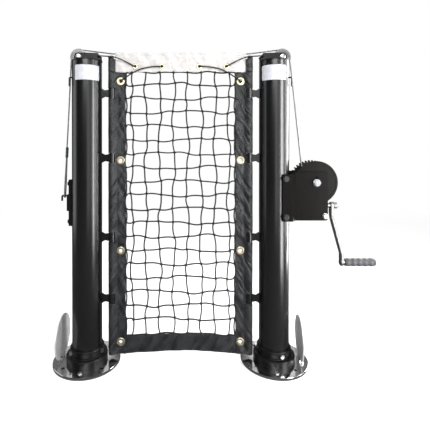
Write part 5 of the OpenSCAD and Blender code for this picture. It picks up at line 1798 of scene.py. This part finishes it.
# fold gives the tape's creases a bump and a painted highlight in their colour.
TAPE_BLACK = Cloth("black_tape", fold=0.0042)
# fold gives the band's creases a bump and painted shade in their colour.
BAND_WHITE = Cloth("white_band", color=(0.68, 0.67, 0.65), worn=(0.46, 0.43, 0.42), roughness=0.62,
                   sheen=0.10, thread=0.0010, depth=0.00012, stain=0.85, patch=75.0, fold=0.0012)
TAPE_THREAD = Cloth("black_tape", "_thread", color=(0.030, 0.030, 0.033), thread=0.0004)
BAND_THREAD = Cloth("white_band", "_thread", color=(0.66, 0.66, 0.63), worn=(0.55, 0.55, 0.52), thread=0.0004)
NET_BLACK = Braid("net_cord")
CORD_BLACK = Braid("black_cord")
GRIP = Plastic("grip_plastic")
LABEL_WHITE = Label("white_band", "_label")


class CadFinish(Enum):
    """CAD nodes that are shown as they are, by finish."""

    CHROME = (CHROME, ("left_floor_plate", "right_floor_plate"))
    LID = (LID_STEEL, ("left_lid", "right_lid"))
    POWDER = (PAINT_BLACK, ("left_post", "right_post", "left_lacing_rod", "right_lacing_rod",
                            "left_rod_lugs", "right_rod_lugs", "left_rope_hook", "right_rope_hook",
                            "anchor_rail", "anchor_carriage"))
    COLLAR = (COLLAR_BLACK, ("left_collar", "right_collar", "left_head_bracket", "right_head_bracket"))
    ZINC = (ZINC, ("plate_screws", "collar_bolts", "winch_tie_bolt", "winch_tie_spacer", "drum_shaft",
                   "drum_spacer", "block_screws"))
    # These zinc parts take the darker copy: painted shade.
    DIM = (ZINC_PAINTED_SHADE, ("lid_pins", "left_sheave", "right_sheave", "cable_ferrule", "crank_nut",
                      "grip_spindle"))
    # The winch's post bolts take the much darker copy: painted shade.
    DULL = (ZINC_PAINTED_DEEP_SHADE, ("winch_post_bolts",))
    CRANK = (CRANK_ZINC, ("crank_arm",))
    BOLT = (BLACK_BOLT, ("rail_bolts",))
    WINCH = (WINCH_BLACK, ("winch_front_plate", "winch_rear_plate", "bearing_blocks"))
    DRUM = (DRUM_BROWN, ("winch_drum",))
    WORM = (WORM_STEEL, ("worm_shaft",))
    GEAR = (GEAR_IRON, ("worm_wheel",))
    BUSH = (BUSH_BRONZE, ("worm_bushes",))
    EYELET = (BRASS, ("left_side_grommets", "right_side_grommets", "headband_grommets"))
    GRIP = (GRIP, ("crank_grip",))


def dress_cad(nodes: dict[str, bpy.types.Object]) -> None:
    """Gives every CAD node that is shown its finish.

    Args:
        nodes: The frame's node objects by name.
    """
    for entry in CadFinish:
        finish, names = entry.value
        for name in names:
            mesh = nodes[name].data
            mesh.materials.clear()
            mesh.materials.append(finish.material())
            LOG.info("%s: %s", name, finish.slot)


# ---------------------------------------------------------------- stage


WHITE = (1.0, 1.0, 1.0, 1.0)


@dataclass(frozen=True)
class SoftBox:
    """A soft lamp, by its place, the point it faces, its width and height, and its power in watts."""

    name: str
    place: Point
    aim: Point
    size: tuple[float, float]
    power: float

    def build(self) -> None:
        """Adds the lamp."""
        data = bpy.data.lights.new(self.name, "AREA")
        data.shape = "RECTANGLE"
        data.size, data.size_y = self.size
        data.energy = self.power
        lamp = bpy.data.objects.new(self.name, data)
        lamp.location = self.place
        away = Vector(self.aim) - Vector(self.place)
        lamp.rotation_euler = away.to_track_quat("-Z", "Y").to_euler()
        bpy.context.scene.collection.objects.link(lamp)


SOFT_BOXES = (
    SoftBox("key", (1.369, -0.695, 0.68), (0.65, 0.0, 0.68), (0.28, 1.35), 13.0),
    SoftBox("side_key", (2.15, -0.27, 0.85), (0.2, 0.0, 0.70), (0.36, 1.66), 8.0),
    SoftBox("back_key", (1.60, 0.36, 0.80), (0.0, 0.0, 0.70), (0.50, 1.56), 28.0),
    SoftBox("fill", (1.72, -1.90, 0.95), (0.5, 0.0, 0.70), (1.10, 1.8), 3.3),
    SoftBox("near_fill", (0.80, -1.90, 0.95), (0.6, 0.0, 0.70), (0.62, 1.8), 3.2),
    SoftBox("edge", (-1.9, 0.10, 0.8), (0.0, 0.0, 0.60), (1.30, 2.0), 9.0),
    SoftBox("front", (0.1, -3.6, 2.7), (0.3, 0.0, 0.5), (2.2, 1.2), 105.0),
    SoftBox("top", (0.3, 0.9, 3.4), (0.3, 0.0, 0.0), (2.5, 2.0), 48.0),
    SoftBox("left_card", (-0.80, 3.0, 1.9), (-0.80, 0.0, 0.2), (0.55, 0.9), 1.5),
    SoftBox("right_card", (1.45, 3.0, 1.9), (1.45, 0.0, 0.2), (0.55, 0.9), 1.5),
)


@dataclass
class Stage:
    """A pale floor and backdrop, soft lamps, and the camera."""

    floor_color: float = 0.80
    floor_glow: float = 0.28
    mirrored: float = 0.09
    room_light: float = 0.55
    room_mirrored: float = 0.045
    target: Point = (0.325, 0.0, 0.729)
    distance: float = 1.22
    height: float = 0.735
    lens: float = 29.35
    shift: tuple[float, float] = (0.0802, -0.15)

    def floor(self) -> None:
        """Adds a floor that shows the object's shadow, and lights up white for the camera elsewhere."""
        shape = Shape()
        xs = [float(v) for v in np.linspace(-9, 9, 19)]
        profile = [(-9.0, -0.001), (-3.0, -0.001), (0.0, -0.001), (3.0, -0.001)]
        profile += [(3.0 + 2.0 * math.sin(a), 2.0 - 2.0 * math.cos(a) - 0.001)
                    for a in np.linspace(0.1, math.pi / 2, 8)]
        profile += [(5.0, 7.0)]
        rows = np.array([[(x, y, z) for x in xs] for y, z in profile])
        shape.grid(rows, xs, [float(i) for i in range(len(profile))], False)
        mesh = shape.mesh("studio_floor")
        shader = Shader("studio_floor")
        path = shader.node("LightPath").outputs
        plain = shader.node("BsdfDiffuse", Color=(self.floor_color,) * 3 + (1.0,), Roughness=0.0)
        dim = shader.node("BsdfDiffuse", Color=(self.mirrored,) * 3 + (1.0,), Roughness=0.0)
        glow = shader.node("Emission", Color=WHITE, Strength=self.floor_glow)
        white = shader.node("Emission", Color=WHITE, Strength=1.0)
        shown = shader.node("AddShader")
        shader.feed(shown.inputs[0], plain.outputs[0])
        shader.feed(shown.inputs[1], glow.outputs[0])
        _, back, height = shader.axes(shader.place())
        rise = height.step(0.05, 1.2).most(back.step(1.2, 3.0))
        risen = shader.mix(rise, shown.outputs[0], white.outputs[0])
        seen = shader.mix(path["Is Camera Ray"], plain.outputs[0], risen)
        shader.feed(shader.out.inputs[0], shader.mix(path["Is Glossy Ray"], seen, dim.outputs[0]))
        mesh.materials.append(shader.material)
        ground = bpy.data.objects.new("studio_floor", mesh)
        bpy.context.scene.collection.objects.link(ground)

    def world(self) -> None:
        """Fills the room with soft light, and dims it where the object mirrors it."""
        world = bpy.data.worlds.new("studio")
        bpy.context.scene.world = world
        world.use_nodes = True
        tree = Tree(world.node_tree, "ShaderNode")
        back = world.node_tree.nodes["Background"]
        tree.feed(back.inputs["Color"], WHITE)
        tree.feed(back.inputs["Strength"], self.room_light)
        dark = tree.node("Background", Color=(0.88, 0.94, 1.0, 1.0), Strength=self.room_mirrored)
        mixed = tree.mix(tree.node("LightPath").outputs["Is Glossy Ray"], back.outputs[0], dark.outputs[0])
        tree.feed(world.node_tree.nodes["World Output"].inputs[0], mixed)

    def camera(self) -> None:
        """Adds the camera."""
        data = bpy.data.cameras.new("camera")
        data.lens = self.lens
        data.sensor_width = 36.0
        data.shift_x, data.shift_y = self.shift
        camera = bpy.data.objects.new("camera", data)
        place = Vector((self.target[0], -self.distance, self.height))
        camera.location = place
        camera.rotation_euler = (Vector(self.target) - place).to_track_quat("-Z", "Y").to_euler()
        bpy.context.scene.collection.objects.link(camera)
        bpy.context.scene.camera = camera

    def build(self) -> None:
        """Builds the whole stage."""
        self.floor()
        self.world()
        for box in SOFT_BOXES:
            box.build()
        self.camera()
        bpy.context.scene.view_settings.view_transform = "Standard"
        LOG.info("stage: floor, lamps, camera")


# ---------------------------------------------------------------- the whole scene

BRACKET_ROUTE: tuple[Point, ...] = (
    (0.0428, 0.0172, 1.053), (0.0428, 0.0, 1.053), (0.0428, -0.015, 1.053), (0.050, -0.0188, 1.053),
    (0.066, -0.0188, 1.052), (0.086, -0.0178, 1.051), (0.108, -0.0148, 1.047), (0.135, -0.0093, 1.036),
    (0.158, -0.0073, 1.024), (0.166, -0.0060, 1.021), (0.167, 0.0, 1.021), (0.167, 0.0078, 1.021))
CORNER_ROUTE: tuple[Point, ...] = (
    (0.260, 0.0078, 1.021), (0.260, 0.0, 1.021), (0.259, -0.006, 1.021), (0.248, -0.0073, 1.020),
    (0.225, -0.0073, 1.018), (0.200, -0.0073, 1.014), (0.178, -0.0073, 1.007), (0.158, -0.0083, 0.996),
    (0.138, -0.0083, 0.983), (0.122, -0.0073, 0.973), (0.117, -0.005, 0.969), (0.117, 0.001, 0.969),
    (0.117, 0.006, 0.969))


def main() -> None:
    """Builds the scene in order."""
    logging.basicConfig(level=logging.INFO, format="%(message)s")
    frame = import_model()
    dress_cad(frame["nodes"])
    stitch, net, laid = stitch_recipe(), knotted_recipe(), laid_line_recipe()
    for side in Side:
        SideTape(side, TAPE_BLACK, TAPE_THREAD).build(stitch)
        LacingCord(f"{side.label}_bracket_lacing", side, f"{side.label}_bracket_cord", BRACKET_ROUTE,
                   CORD_BLACK).build()
        LacingCord(f"{side.label}_corner_lacing", side, f"{side.label}_corner_cord", CORNER_ROUTE,
                   CORD_BLACK).build()
        PostLabel(side, LABEL_WHITE).build()
    Headband(BAND_WHITE, BAND_THREAD).build(stitch)
    BottomBand(TAPE_BLACK, TAPE_THREAD).build(stitch)
    KnottedNet(NET_BLACK).build(net)
    NetCable(CABLE_STEEL).build(laid)
    SheaveBolts(ZINC).build()
    Stage().build()


if __name__ == "__main__":
    main()
